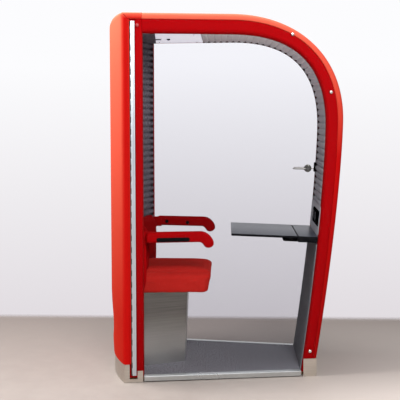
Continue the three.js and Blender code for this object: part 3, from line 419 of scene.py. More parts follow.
clear_glass, tree, spot = new_material("clear_toughened_glass")
grazing = node(tree, "Fresnel", {"IOR": 1.45})
leaving = node(tree, "NewGeometry").outputs["Backfacing"]
entering = node(tree, "Math", {0: 1.0, 1: leaving}, operation="SUBTRACT")
steep = node(tree, "Math", {0: grazing, 1: 2.0}, operation="POWER")
mirrors = node(tree, "Math", {0: steep, 1: entering}, operation="MULTIPLY")
height = node(tree, "SeparateXYZ", {0: spot}).outputs["Z"]
clean = node(tree, "MapRange", {"Value": height, "From Min": 0.3, "From Max": 2.0})
film = node(
    tree, "Mix", {0: clean, MIX_A: linear(FILM_LOW), MIX_B: linear(FILM_HIGH)}, data_type="RGBA"
)
through = node(tree, "BsdfTransparent", {"Color": film})
mirror = node(tree, "BsdfGlossy", {"Color": linear(MIRROR_TINT), "Roughness": 0.02})
pane = node(tree, "MixShader", {0: mirrors, 1: through, 2: mirror})
node(tree, "OutputMaterial", {"Surface": pane})
print("glass made:", clear_glass.name)

# %% [markdown]
# The ceiling panel is opal acrylic with lamps behind it. An Emission shader alone would look flat and
# take no light from the room, so this is a plastic with a faint even glow of its own.

# %% Finish: opal ceiling
OPAL_DEEP, OPAL_LIT, OPAL_GLOW = "#DCDCE4", "#F0F0F8", "#F4F5FF"

opal_panel, tree, spot = new_material("opal_acrylic")
cloud = node(tree, "TexNoise", {"Vector": spot, "Scale": 1 / 0.12, "Detail": 3.0})
tone = node(
    tree, "Mix", {0: cloud, MIX_A: linear(OPAL_DEEP), MIX_B: linear(OPAL_LIT)}, data_type="RGBA"
)
glow = {"Emission Color": linear(OPAL_GLOW), "Emission Strength": 0.4}
opal = node(tree, "BsdfPrincipled", {"Base Color": tone, "Roughness": 0.35, **glow})
node(tree, "OutputMaterial", {"Surface": opal})
print("opal made, glow:", glow["Emission Strength"])

# %% [markdown]
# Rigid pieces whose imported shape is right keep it, and only change their finish. They could be
# modelled again here, but a second shape might drift from the solid that the pod is tested with.


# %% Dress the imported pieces
def dress(material, *names):
    """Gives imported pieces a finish."""
    for name in names:
        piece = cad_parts[name]
        if not piece.material_slots:
            piece.data.materials.append(material)
        for slot in piece.material_slots:
            slot.material = material
    print(material.name, "on", ", ".join(names))


FEET = [f"levelling_foot_{i}" for i in range(1, 5)]
dress(plywood, "base_platform", "back_board")
dress(plinth_steel, "rear_plinth", "front_plinth")
dress(seat_steel, "seat_box")
dress(profile_aluminium, "hinge_frame_leaf", "door_hinge_leaf")
dress(sill_aluminium, "near_sill", "far_sill")
dress(polished_steel, "hinge_pin", "latch_bolt")
dress(socket_grey, "socket_1", "socket_2")
dress(black_plastic, "fan_frame", "fan_rotor", "strike_box", "table_hinge_pin", *FEET)
dress(black_rubber, "door_seal")
dress(opal_panel, "ceiling_panel")
dress(grey_coat, "socket_panel")
dress(clear_glass, "near_pane", "door_pane")
dress(frame_wool, "rear_core", "arch_core")

# %% [markdown]
# Every padded piece follows the same plan, so its measures come first. The plan narrows towards the
# table, and both glass planes lean in with it. The same lines were used for the solids, here in
# metres.

# %% Measures of the pod
REAR = -0.595  # x of the line through the two rear corners
REAR_HALF = 0.445  # half of the width there
TAPER = 0.141  # half width lost for each metre of x
SLANT = math.atan(TAPER)
TOP, CEILING, PLINTH_TOP, FLOOR_BOARD = 2.2, 2.083, 0.1105, 0.0265  # heights
STILE_FRONT = REAR + 0.112
NEAR, FAR = -1, 1  # the sides, as signs of y
SIDES = {NEAR: "near", FAR: "far"}


def half_width(x):
    return REAR_HALF - TAPER * (x - REAR)


def inside(side, x, inset, z):
    """A point at x and z, inset from the glass on one side."""
    return Vector((x, side * (half_width(x) - inset / math.cos(SLANT)), z))


def on_glass(side, x, inset, z):
    """A point of a piece that stands square to the glass. x is true where inset is 0."""
    along = (x - REAR) / math.cos(SLANT)
    return Vector((
        REAR + along * math.cos(SLANT) - inset * math.sin(SLANT),
        side * (REAR_HALF - along * math.sin(SLANT) - inset * math.cos(SLANT)),
        z,
    ))


def mix(a, b, share):
    return a + (b - a) * share


def clamped(share):
    return min(max(share, 0), 1)


def spread(low, high, steps):
    return [mix(low, high, i / steps) for i in range(steps + 1)]


print("half width at the seat:", round(half_width(REAR), 3), "at the table:", round(half_width(0.5), 3))

# %% [markdown]
# A padded panel is a closed skin through a row of rings. By hand one would add a grid, roll it up
# and fill its ends, and that is what the first helper does: each corner of the grid goes to a point
# of a ring, the seam is merged, and the two open ends are filled. The others smooth a finished piece,
# give it its finish and its body, and hide the imported pieces that it stands for.


# %% Helpers for closed skins
def swept(name, rings, grooves=None):
    """A closed skin through rings of points. grooves gives the painted shade of the felt at each
    point.
    """
    around, along = len(rings[0]), len(rings) - 1
    bpy.ops.mesh.primitive_grid_add(x_subdivisions=around, y_subdivisions=along, size=1)
    piece = bpy.context.object
    piece.name = piece.data.name = name
    mark = piece.data.attributes.new("groove", "FLOAT", "POINT") if grooves else None
    for corner in piece.data.vertices:
        u = round((corner.co.x + 0.5) * around) % around
        v = round((corner.co.y + 0.5) * along)
        corner.co = rings[v][u]
        if mark:
            mark.data[corner.index].value = grooves[v][u]
    bpy.ops.object.mode_set(mode="EDIT")
    bpy.ops.mesh.select_all(action="SELECT")
    bpy.ops.mesh.remove_doubles(threshold=1e-5)
    bpy.ops.mesh.fill_holes(sides=0)
    bpy.ops.mesh.normals_make_consistent(inside=False)
    bpy.ops.object.mode_set(mode="OBJECT")
    return piece


def soften(piece, angle):
    """Shades a piece smooth, except over edges sharper than an angle in degrees."""
    bpy.ops.object.select_all(action="DESELECT")
    piece.select_set(True)
    bpy.context.view_layer.objects.active = piece
    bpy.ops.object.shade_smooth_by_angle(angle=math.radians(angle))


def settle(piece, material, body, slot, *nodes, angle=35):
    """Softens a finished piece, and gives it its finish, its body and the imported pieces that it
    stands for."""
    if angle:
        soften(piece, angle)
    if material:
        piece.data.materials.clear()
        piece.data.materials.append(material)
    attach(piece, body)
    if nodes:
        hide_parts(*nodes)
    spans = zip(*(corner.co for corner in piece.data.vertices))
    size = [round(max(span) - min(span), 3) for span in spans]
    print(piece.name, "faces:", len(piece.data.polygons), "size:", size)


# %% [markdown]
# The back of the pod is a curved board with foam under wool. Its outer face bows out, rolls over at
# the top into the cap of the roof, and is pulled in a little near the plinth where the cloth is
# stapled. Shell and cap are one cover, so they are one piece: an upside-down L swept across the
# width, with the corners at the glass rounded like a padded edge. A subdivided block would round off
# the taut straight edges too, and a swept section keeps them.

# %% Rear padding
SHELL = 0.031  # thickness of the padded edge beside the glass
EDGE_ROLL = 0.02  # radius of its outer corner
OUTER_SAG, INNER_SAG = 0.126, 0.121  # how far the two faces bow out
CAP_FRONT, CAP_UNDER = 0.112, 2.1633
TUCK_TOP, TUCK_RUN, TUCK = 0.5, 0.24, 0.013  # where the face draws in, over what height, how far
SWELL_Z, SWELL_RUN, SWELL = 0.19, 0.045, 0.004  # the same for the small roll above the staples
OUTER_Z = (PLINTH_TOP, 0.13, 0.16, 0.2, 0.25, 0.3, 0.36, 0.43, 0.5, 0.6, 0.9, 1.3, 1.7, 2.0)
INNER_Z = (1.7, 1.3, 0.9, 0.5, 0.25, PLINTH_TOP)


def bow(y, sag, half):
    """How far a plan arc lies behind its two ends at y, as a negative length."""
    radius = (half * half + sag * sag) / (2 * sag)
    return radius - sag - math.sqrt(max(radius * radius - y * y, 0))


def quarter(radius, steps):
    """A quarter circle that rounds an edge, as how far in it lies from one face and the other."""
    turns = spread(0, math.pi / 2, steps)
    return [(radius * (1 - math.sin(a)), radius * (1 - math.cos(a))) for a in turns]


def rear_ring(share, draw=0.0):
    """The section at a share of the half width, from -1 at the near glass to 1 at the far one, with
    its outer line drawn in."""
    fullness = 1 - share * share
    inner_half = half_width(REAR + SHELL)
    inner = SHELL + bow(share * inner_half, INNER_SAG, inner_half)
    line = []
    for z in OUTER_Z:
        tuck = clamped((TUCK_TOP - z) / TUCK_RUN)
        tuck = tuck * tuck * (3 - 2 * tuck)
        swell = math.exp(-(((z - SWELL_Z) / SWELL_RUN) ** 2))
        sag = OUTER_SAG - TUCK * tuck + SWELL * swell
        line.append((bow(share * REAR_HALF, sag, REAR_HALF) + draw, z))
    edge = bow(share * REAR_HALF, OUTER_SAG, REAR_HALF) + draw
    top = TOP - 0.5 * draw
    rolled, dropped = 0.010 + 0.046 * fullness, 0.014 + 0.058 * fullness
    for a in spread(0, math.pi / 2, 9):
        line.append((edge + rolled * (1 - math.cos(a)), top - dropped * (1 - math.sin(a))))
    line += [(0.033, top), (0.07, top), (CAP_FRONT, top), (CAP_FRONT, CAP_UNDER), (0.07, CAP_UNDER)]
    line += [(inner + 0.004, CAP_UNDER), (inner, CAP_UNDER - 0.004)]
    line += [(inner, z) for z in INNER_Z]
    return [Vector((REAR + x, share * half_width(REAR + max(x, 0)), z)) for x, z in line]


roll = [(draw, depth / REAR_HALF) for draw, depth in quarter(EDGE_ROLL, 8)]
rings = [rear_ring(inset - 1, draw) for draw, inset in roll]
rings += [rear_ring(s) for s in spread(-0.93, 0.93, 40)]
rings += [rear_ring(1 - inset, draw) for draw, inset in roll[::-1]]
rear_padding = swept("rear_padding", rings)
settle(rear_padding, shell_wool, "pod", "red_fabric", "rear_shell", "rear_cap", angle=50)

# %% [markdown]
# Where the upright edge of the back meets the edge of the cap, the upholsterer sewed a mitre. It
# shows as a dark line from the outer corner to the inner one. A thin welt along that line is enough:
# a bent rod is the same skin as before, with round rings.

# %% Mitre welts
WELT_ENDS = ((0.006, 2.192), (0.0285, 2.1665))
WELT_RADII = [0.0008, 0.0014, 0.0016, 0.0016, 0.0016, 0.0014, 0.0008]


def circle(facets):
    return [(math.cos(a), math.sin(a)) for a in (2 * math.pi * i / facets for i in range(facets))]


def rod(name, path, radii, facets=20):
    """A bent round rod along a path of points, with a radius at each point."""
    rings = []
    for i, middle in enumerate(path):
        ahead = (path[min(i + 1, len(path) - 1)] - path[max(i - 1, 0)]).normalized()
        side = ahead.cross(Vector((0, 0, 1)))
        side = side.normalized() if side.length > 1e-6 else Vector((1, 0, 0))
        up = side.cross(ahead)
        rings.append([middle + radii[i] * (c * side + s * up) for c, s in circle(facets)])
    return swept(name, rings)


for side, name in SIDES.items():
    start, end = (inside(side, REAR + x, 0.0004, z) for x, z in WELT_ENDS)
    path = [start.lerp(end, t) for t in spread(0, 1, len(WELT_RADII) - 1)]
    welt = rod(f"{name}_mitre_welt", path, WELT_RADII, 10)
    settle(welt, seam_wool, "pod", "red_fabric", angle=60)

# %% [markdown]
# The roof and the front wall are one padded sweep: a level roof, a round shoulder and a leaning wall.
# Its section is a low pillow, tucked in where it meets the frame, full at the side, and rolled over
# into a nearly flat top. A curve with a bevel could carry that section, but the padding gets thinner
# towards the foot, so each ring is set between a crease line and an outer line instead.

# %% Arch padding
ROOF_END = REAR + 0.64
WALL_FOOT = 0.11
ARCH_INNER = {"roof": CEILING, "wide": (REAR + 1.212, 1.53), "foot": REAR + 1.083, "round": 0.675}
ARCH_CREASE = {"roof": 2.163, "wide": (REAR + 1.281, 1.56), "foot": REAR + 1.143, "round": 0.62}
ARCH_OUTER = {"roof": TOP, "wide": (REAR + 1.316, 1.573), "foot": REAR + 1.166, "round": 0.6}
PILLOW = [  # share of the padding's thickness, and metres in from the glass plane
    (0.0, 0.0030), (0.05, 0.0008), (0.16, -0.0004), (0.34, -0.0010), (0.5, -0.0004), (0.63, 0.0010),
    (0.74, 0.0030), (0.83, 0.0062), (0.905, 0.0110), (0.955, 0.0168), (0.985, 0.0240),
    (1.0, 0.0360), (1.015, 0.0800), (1.03, 0.1600),
]


def bezier(points, steps):
    """Points of a Bezier curve with two to four control points, without its first."""
    spots = []
    for t in spread(0, 1, steps)[1:]:
        level = points
        while len(level) > 1:
            level = [tuple(mix(a, b, t) for a, b in zip(p, q)) for p, q in zip(level, level[1:])]
        spots.append(level[0])
    return spots


def wall_x(arch, z):
    wide_x, wide_z = arch["wide"]
    fall = max(wide_z - z, 0) / (wide_z - WALL_FOOT)
    return wide_x - (wide_x - arch["foot"]) * fall**1.5


def arch_line(arch, start, foot, round_steps=40, wall_steps=28):
    """Points of one arch in side view, from x = start on the roof to z = foot on the wall."""
    (wide_x, wide_z), roof, hold = arch["wide"], arch["roof"], arch["round"]
    pulls = [(mix(ROOF_END, wide_x, hold), roof), (wide_x, mix(wide_z, roof, hold))]
    line = [(x, roof) for x in spread(start, ROOF_END, 8)]
    line += bezier([(ROOF_END, roof), *pulls, (wide_x, wide_z)], round_steps)
    return line + [(wall_x(arch, z), z) for z in spread(wide_z, foot, wall_steps)[1:]]


def round_edges(piece, test, width, segments):
    """Bevels the edges that pass a test."""
    bpy.context.view_layer.objects.active = piece
    bpy.ops.object.mode_set(mode="EDIT")
    bpy.ops.mesh.select_mode(type="EDGE")
    bpy.ops.mesh.select_all(action="DESELECT")
    skin = bmesh.from_edit_mesh(piece.data)
    for edge in skin.edges:
        edge.select = test(edge)
    bmesh.update_edit_mesh(piece.data)
    bpy.ops.mesh.bevel(offset=width, segments=segments, profile=0.5, clamp_overlap=True)
    bpy.ops.object.mode_set(mode="OBJECT")


def at_end(edge):
    """Whether an edge runs round one of the two filled ends."""
    return len(edge.link_faces) == 2 and any(len(face.verts) > 8 for face in edge.link_faces)


start = STILE_FRONT + 0.0006
rings = []
for (xa, za), (xb, zb) in zip(*(arch_line(a, start, PLINTH_TOP) for a in (ARCH_CREASE, ARCH_OUTER))):
    near, far = [], []
    for share, inset in PILLOW:
        x, z = mix(xa, xb, share), mix(za, zb, min(share, 1.0))
        near.append(Vector((x, -(half_width(x) - inset), z)))
        far.append(Vector((x, half_width(x) - inset, z)))
    rings.append(near + far[::-1])
arch_padding = swept("arch_padding", rings)
round_edges(arch_padding, at_end, 0.003, 3)
settle(arch_padding, arch_wool, "pod", "red_fabric", "arch_shell", angle=50)

# %% [markdown]
# Behind the glass stand the frames: boards wrapped in the same wool. The rear stiles are straight, so
# each is a block with rounded edges. The arch frames bend with the roof, and their inner edge towards
# the glass is well rounded, which shows as a darker band along the opening.

# %% Stiles and arch frames
GLASS_BACK = {NEAR: 0.0083, FAR: 0.0126}  # front face of the frames, in from the glass plane
FRAME_BACK, FRAME_ROUND, FRAME_DEPTH = 0.072, 0.03, 0.08
STILE_X = (REAR + 0.0728, STILE_FRONT)


def upright_block(name, corners, heights, edge, segments=3):
    """A prism over four plan corners, with its edges rounded."""
    bpy.ops.mesh.primitive_cube_add(size=2)
    piece = bpy.context.object
    piece.name = piece.data.name = name
    for corner in piece.data.vertices:
        across = corner.co.y > 0
        plan = corners[(3 if across else 0) if corner.co.x < 0 else (2 if across else 1)]
        corner.co = (plan[0], plan[1], heights[corner.co.z > 0])
    bpy.ops.object.mode_set(mode="EDIT")
    bpy.ops.mesh.select_all(action="SELECT")
    bpy.ops.mesh.normals_make_consistent(inside=False)
    bpy.ops.mesh.bevel(offset=edge, segments=segments, profile=0.5)
    bpy.ops.object.mode_set(mode="OBJECT")
    return piece


def block_beside(name, side, xs, insets, heights, edge, segments=3, place=inside):
    """An upright block between two x, two insets from the glass and two heights."""
    plan = zip(xs + xs[::-1], (insets[0], insets[0], insets[1], insets[1]))
    corners = [place(side, x, inset, 0) for x, inset in plan]
    return upright_block(name, corners, heights, edge, segments)


def frame_rings(side):
    start, face = STILE_FRONT + 0.001, GLASS_BACK[side]
    section = [(0.0, FRAME_BACK - 0.002), (0.0, 0.05)]
    section += [(x / FRAME_DEPTH, face + depth) for x, depth in quarter(FRAME_ROUND, 7)[::-1]]
    section += [(0.6, face), (0.94, face), (0.985, face + 0.0015), (0.99, FRAME_BACK)]
    section += [(0.02, FRAME_BACK)]
    lines = (arch_line(arch, start, FLOOR_BOARD) for arch in (ARCH_INNER, ARCH_CREASE))
    return [
        [inside(side, mix(xa, xb, d), inset, mix(za, zb, d)) for d, inset in section]
        for (xa, za), (xb, zb) in zip(*lines)
    ]


for side, name in SIDES.items():
    insets, heights = (GLASS_BACK[side], FRAME_BACK), (FLOOR_BOARD, 2.1625)
    stile = block_beside(f"{name}_stile_wrap", side, STILE_X, insets, heights, 0.004)
    settle(stile, frame_wool, "pod", "deep_red_fabric", f"{name}_rear_stile")
for side, name in SIDES.items():
    wrap = swept(f"{name}_frame_wrap", frame_rings(side))
    settle(wrap, frame_wool, "pod", "deep_red_fabric", f"{name}_arch_frame", angle=40)

# %% [markdown]
# The lining is felt pressed into ribs that run across the pod, each about 40 mm wide with a round
# back and a sharp groove. Seen from the side the ribs make the scalloped edge along the far frame.
# They are modelled, not painted: a ring is laid every few millimetres along the wall, and each is
# raised by the height of the rib there. Below the table the felt is smooth and laps onto the frames.

# %% Front linings
RIB, LINING = 0.04, 0.024  # width of a rib, and thickness of the felt
LINING_EDGE = 0.0735  # sides of the lining, in from the glass plane
FLANGE = 0.036  # sides of the felt where it laps onto the frames, in from the glass plane
OPENS = {NEAR: 0.008, FAR: 0.055}  # how far in from the edge of the felt its grooves open out


def rib_share(distance, fullness=0.6):
    """The height of a rib as a share, from 0 in the groove to 1 on its back."""
    return abs(math.sin(math.pi * distance / RIB)) ** fullness


def even_line(line, step):
    """Points every step along a line, each with its distance, place and inward normal."""
    spots, gone, due = [], 0.0, 0.0
    for (xa, za), (xb, zb) in zip(line, line[1:]):
        length = math.hypot(xb - xa, zb - za)
        while due <= gone + length and length > 0:
            t = (due - gone) / length
            normal = ((zb - za) / length, -(xb - xa) / length)
            spots.append((due, mix(xa, xb, t), mix(za, zb, t), normal))
            due += step
        gone += length
    return spots


def on_wall(side, spot, inset, lift):
    """A point lifted off a spot of the wall, inset from the glass on one side."""
    _, x, z, (nx, nz) = spot
    return inside(side, x + nx * lift, inset, z + nz * lift)


def felt_rings(spots, section):
    """Rings along the wall. section gives inset and lift from one side to the middle."""
    rings = []
    for spot in spots:
        near, far = (
            [on_wall(side, spot, *point) for point in section(spot[0], spot[2], side)]
            for side in (NEAR, FAR)
        )
        rings.append(near + far[::-1])
    return rings


def on_roof(z):
    """A share from 0 on the wall to 1 on the roof."""
    return clamped((z - 1.4) / 0.4)


def ribbed(distance, z, side):
    """Full ribs with narrow grooves, shallower on the roof, which open out at both edges."""
    at_edge = 0.0095 * rib_share(distance, 0.8) - 0.006
    lift = 0.0035 - mix(0.0095, 0.004, on_roof(z)) * (1 - rib_share(distance, 0.22))
    return [
        (LINING_EDGE, -LINING), (LINING_EDGE, at_edge - 0.0025), (LINING_EDGE + 0.004, at_edge),
        (LINING_EDGE + OPENS[side], mix(at_edge, lift, 0.3)),
        (LINING_EDGE + 1.6 * OPENS[side], lift),
    ]


def lapped(distance, z, side):
    """A smooth felt whose edges lap onto the frames beside it."""
    return [
        (LINING_EDGE, -LINING), (LINING_EDGE, 0.0006), (FLANGE + 0.0005, 0.0006),
        (FLANGE, 0.0034), (FLANGE + 0.0012, 0.0054), (FLANGE + 0.004, 0.006),
    ]


def wall_line(high, low, steps):
    return [(wall_x(ARCH_INNER, z), z) for z in spread(high, low, steps)]


arch_spots = even_line(arch_line(ARCH_INNER, REAR + 0.451, 1.0408, 60, 30), RIB / 9)
# Painted shade: in the grooves near both edges, deepest at the far one, and faint on the face.
arch_shades = []
for distance, _, z, _ in arch_spots:
    open_groove = (1 - rib_share(distance, 1.2)) ** 0.6
    on_face = mix(0.14, 0.03, on_roof(z)) * (1 - rib_share(distance, 0.5))
    arch_shades.append([0.5 * open_groove] * 3 + [on_face] * 3 + [0.9 * open_groove] * 4)
arch_felt = swept("arch_ribbed_felt", felt_rings(arch_spots, ribbed), arch_shades)
settle(arch_felt, grey_felt, "pod", "grey_felt", "arch_lining", angle=60)

low_spots = even_line(wall_line(0.8112, FLOOR_BOARD, 24), 0.03)
low_lining = swept("front_low_felt", felt_rings(low_spots, lapped))
settle(low_lining, low_felt, "pod", "dark_felt", "front_lower_lining", angle=40)

# %% [markdown]
# The lining behind the seat has the same ribs and bows back with the shell. Its ribs are level, so
# its rings are too, one for each height. It stays flat where the cushions and the floor cover it. Its
# grooves get painted shade, more of it near the edges, where they open out.

# %% Rear lining
LINING_BOW, LINING_HALF, LINING_X, LINING_TOP = 0.078, 0.355, REAR + 0.098, 2.0823
COVERED_FLOOR, COVERED_TOP, COVERED_HALF = 0.06, 0.95, 0.29  # what the floor and the cushions hide


def rear_felt_ring(z):
    front, back = [], []
    for y in spread(-LINING_HALF, LINING_HALF, 36):
        x = LINING_X + bow(y, LINING_BOW, LINING_HALF)
        covered = z < COVERED_FLOOR or (z < COVERED_TOP and abs(y) < COVERED_HALF)
        lift = 0.0 if covered else 0.005 + 0.008 * rib_share(z)
        front.append(Vector((x + lift, y, z)))
        back.append(Vector((x - LINING, y, z)))
    return front + back[::-1]


def rear_shade(spot):
    """How much painted shade the felt has at a point."""
    to_edge = clamped((abs(spot.y) - 0.3) / 0.035)
    return mix(0.75 * (1 - rib_share(spot.z)) ** 1.2, (1 - rib_share(spot.z, 1.6)) ** 0.7, to_edge)


heights = spread(FLOOR_BOARD, LINING_TOP, round((LINING_TOP - FLOOR_BOARD) / (RIB / 8)))
rings = [rear_felt_ring(z) for z in heights]
rear_shades = [[rear_shade(spot) for spot in ring] for ring in rings]
rear_felt = swept("rear_ribbed_felt", rings, rear_shades)
settle(rear_felt, dark_felt, "pod", "dark_felt", "rear_lining", angle=60)

# %% [markdown]
# On the door side, near-black strips stand in for the deep shade between the ribs where the linings
# meet the frames: painted shade, which shows as a row of dark gaps. The light panel above the table
# laps over the frames instead.
# Both are thin strips laid along the same spots as the ribs, so they follow the bend of the wall.

# %% Painted shade strips and panel laps
STILE_SHADE_X, STILE_SHADE_Z = (REAR + 0.0765, REAR + 0.1112), (0.036, LINING_TOP)
ARCH_SHADE_STRIPS = {  # two insets from the glass and two lifts off the wall
    "arch_face_shade_strip": ((0.037, 0.0731), (0.0002, 0.0008)),
    "arch_side_shade_strip": ((0.0722, 0.0731), (-0.02, -0.0002)),
}


def strip_on_wall(name, side, spots, insets, lifts):
    """A flat strip that lies on the inner face of the arch."""
    (edge, other), (low, high) = insets, lifts
    section = [(edge, low), (other, low), (other, high), (edge, high)]
    return swept(name, [[on_wall(side, spot, *point) for point in section] for spot in spots])


# Painted shade strips, on the door side only.
stile_shade_piece = block_beside(
    "stile_shade_strip", FAR, STILE_SHADE_X, (0.0722, 0.0734), STILE_SHADE_Z, 0.0004, 2
)
settle(stile_shade_piece, shade_strip_wool, "pod", "dark_felt")
for name, (insets, lifts) in ARCH_SHADE_STRIPS.items():
    arch_shade_piece = strip_on_wall(name, FAR, arch_spots[::3], insets, lifts)
    settle(arch_shade_piece, shade_strip_wool, "pod", "dark_felt", angle=None)
panel_spots = even_line(wall_line(1.0394, 0.862, 12), 0.01)
for side, name in SIDES.items():
    lap = strip_on_wall(f"{name}_panel_lap", side, panel_spots, (0.0345, 0.0733), (0.0005, 0.0017))
    settle(lap, grey_coat, "pod", "aluminium", angle=None)

# %% [markdown]
# A strip of the dark felt covers the rear of the ceiling. A slot is cut in it for the air: a block of
# the slot's size is taken away with a Boolean.

# %% Ceiling strip
STRIP_REAR, STRIP_HALF, STRIP_Z = REAR + 0.03, 0.355, (2.0798, 2.0828)
STRIP_FRONT = {NEAR: REAR + 0.184, FAR: REAR + 0.1315}
SLOT_X, SLOT_Y = (-0.474, -0.404), (0.0333, 0.0387)


def finish_with(piece, kind, **settings):
    """Adds a modifier with its settings to a piece, and applies it."""
    bpy.context.view_layer.objects.active = piece
    step = piece.modifiers.new(kind.lower(), kind)
    for name, value in settings.items():
        setattr(step, name, value)
    bpy.ops.object.modifier_apply(modifier=step.name)


def cut(piece, cutter):
    """Takes one shape away from another."""
    finish_with(piece, "BOOLEAN", operation="DIFFERENCE", object=cutter)
    bpy.data.objects.remove(cutter)


corners = [
    (STRIP_REAR, -STRIP_HALF), (STRIP_FRONT[NEAR], -STRIP_HALF),
    (STRIP_FRONT[FAR], STRIP_HALF), (STRIP_REAR, STRIP_HALF),
]
ceiling_strip = upright_block("ceiling_felt_strip", corners, STRIP_Z, 0.001, 2)
bpy.ops.mesh.primitive_cube_add(size=1, location=(sum(SLOT_X) / 2, sum(SLOT_Y) / 2, STRIP_Z[0]))
slot_block = bpy.context.object
slot_block.scale = (SLOT_X[1] - SLOT_X[0], SLOT_Y[1] - SLOT_Y[0], 0.02)
cut(ceiling_strip, slot_block)
settle(ceiling_strip, dark_felt, "pod", "dark_felt")

# %% [markdown]
# The carpet fills the floor from the lining to the front wall. It is a thin pile on a backing, so
# its top is not a perfect plane: a small uneven lift, seeded by place and not by chance, is enough.
# Hair particles would show single loops, but from eye height they only cost time.

# %% Carpet
CARPET_TOP, CARPET_EDGE, PILE = 0.034, 0.0015, 0.0006  # height, how far its edge falls, and its lift
BESIDE_STILE, BESIDE_FRAME = 0.0735, 0.0372  # sides of the carpet, in from the glass plane


def pile(x, y):
    return PILE * (math.sin(310 * x + 3 * math.sin(90 * y)) + math.sin(280 * y + 2 * math.sin(120 * x)))


def clear_of_lining(x, y):
    beside = min(max(y, -LINING_HALF), LINING_HALF)
    return max(x, LINING_X + bow(beside, LINING_BOW, LINING_HALF) + 0.008)


def carpet_ring(x):
    inset = BESIDE_STILE if x < REAR + 0.1132 else BESIDE_FRAME
    half = half_width(x) - inset / math.cos(SLANT)
    top = []
    for y in [-half] + [s * half for s in spread(-0.992, 0.992, 60)] + [half]:
        fall = CARPET_EDGE if abs(y) == half else 0
        top.append(Vector((clear_of_lining(x, y), y, CARPET_TOP - fall + pile(x, y))))
    return top + [Vector((clear_of_lining(x, y), y, FLOOR_BOARD)) for y in (half, -half)]


carpet_x = [REAR + 0.03 + 0.0208 * i for i in range(4)] + [REAR + 0.1131, REAR + 0.1133]
carpet_x += spread(REAR + 0.125, wall_x(ARCH_INNER, FLOOR_BOARD) - 0.002, 90)
carpet = swept("floor_pile", [carpet_ring(x) for x in carpet_x])
settle(carpet, loop_pile, "pod", "carpet", "floor_carpet", angle=50)

# %% [markdown]
# A black strip under the sills, set back a little, stands in for the shadow beneath them and shows as
# a dark line on the floor: painted shade. A block with rounded edges catches a thin line of light, so
# it reads as rubber and not as a gap.

# %% Painted shade strips under the sills
SILL_SHADE_X, SILL_SHADE_INSET, SILL_SHADE_Z = (-0.48, 0.473), (0.012, 0.034), (0.0002, 0.0048)
for side, name in SIDES.items():
    strip = block_beside(
        f"{name}_sill_shade_strip", side, SILL_SHADE_X, SILL_SHADE_INSET, SILL_SHADE_Z, 0.0006, 2
    )
    settle(strip, black_rubber, "pod", "black")

# %% [markdown]
# Seat and back are foam under tight wool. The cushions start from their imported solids, which are
# remeshed to an even net and blown up a little as cloth, so that the faces crown and the edges draw
# in as sewn covers do. How far a point may travel is capped, so the cushion keeps its size. The sides
# of the seat cover are then drawn down over the edge of its board, its top falls off to a seam along
# either side, and the foot of the back cushion is drawn down to the seat.

# %% Seat and back cushions
VOXEL, PRESSURE = 0.006, 4.0
SIDE_SEAM = 0.565  # height from which the sides of the seat cover are drawn down
SEAT_HALF, CROWN_FROM, CROWN_FALL = 0.275, 0.13, 0.036
SEAM_Y, SEAM_WIDTH, SEAM_DEPTH = 0.205, 0.014, 0.005
BACK_DRAWN, BACK_DROP = 0.74, 0.042


def stuffed(name, source, cap):
    """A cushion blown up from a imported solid. cap is how far a point may travel, in metres."""
    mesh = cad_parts[source].data.copy()
    piece = bpy.data.objects.new(name, mesh)
    mesh.name = name
    bpy.context.scene.collection.objects.link(piece)
    bpy.ops.object.select_all(action="DESELECT")
    piece.select_set(True)
    bpy.context.view_layer.objects.active = piece
    bpy.ops.object.mode_set(mode="EDIT")
    bpy.ops.mesh.select_all(action="SELECT")
    bpy.ops.mesh.remove_doubles(threshold=1e-5)
    bpy.ops.object.mode_set(mode="OBJECT")
    finish_with(piece, "REMESH", mode="VOXEL", voxel_size=VOXEL)
    finish_with(piece, "SMOOTH", factor=0.5, iterations=6)
    cover = piece.modifiers.new("cover", "CLOTH")
    cover.settings.use_pressure = True
    cover.settings.uniform_pressure_force = PRESSURE
    cover.settings.effector_weights.gravity = 0
    cover.collision_settings.use_collision = False
    for step in range(1, 21):
        bpy.context.scene.frame_set(step)
    blown = piece.evaluated_get(bpy.context.evaluated_depsgraph_get())
    swollen = [v.co.copy() for v in blown.data.vertices]
    piece.modifiers.remove(cover)
    bpy.context.scene.frame_set(1)
    for corner, place in zip(piece.data.vertices, swollen):
        move = place - corner.co
        corner.co += move * min(1, cap / max(move.length, 1e-9))
    soften(piece, 60)
    return piece


seat_pad = stuffed("seat_pad", "seat_cushion", 0.005)
seat_floor, seat_top = (corner.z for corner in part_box("seat_cushion"))
board_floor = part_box("seat_board")[0].z + 0.0005
for corner in seat_pad.data.vertices:
    share = min((SIDE_SEAM - max(corner.co.z, seat_floor)) / (SIDE_SEAM - seat_floor), 1)
    if share > 0:
        corner.co.z = mix(SIDE_SEAM, board_floor, share)
for corner in seat_pad.data.vertices:
    to_top = clamped((corner.co.z - SIDE_SEAM) / (seat_top - SIDE_SEAM))
    to_side = max(abs(corner.co.y) - CROWN_FROM, 0) / (SEAT_HALF - CROWN_FROM)
    seam = math.exp(-(((abs(corner.co.y) - SEAM_Y) / SEAM_WIDTH) ** 2))
    corner.co.z -= to_top * (CROWN_FALL * to_side**1.5 + SEAM_DEPTH * seam)
settle(seat_pad, seat_wool, "pod", "deep_red_fabric", "seat_cushion", "seat_board", angle=None)

# The back cushion takes the deeper red of painted shade.
back_pad = stuffed("back_pad", "back_cushion", 0.004)
back_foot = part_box("back_cushion")[0].z
for corner in back_pad.data.vertices:
    share = (BACK_DRAWN - corner.co.z) / (BACK_DRAWN - back_foot)
    corner.co.z -= BACK_DROP * max(share, 0)
settle(back_pad, painted_shade_wool, "pod", "deep_red_fabric", "back_cushion", angle=None)

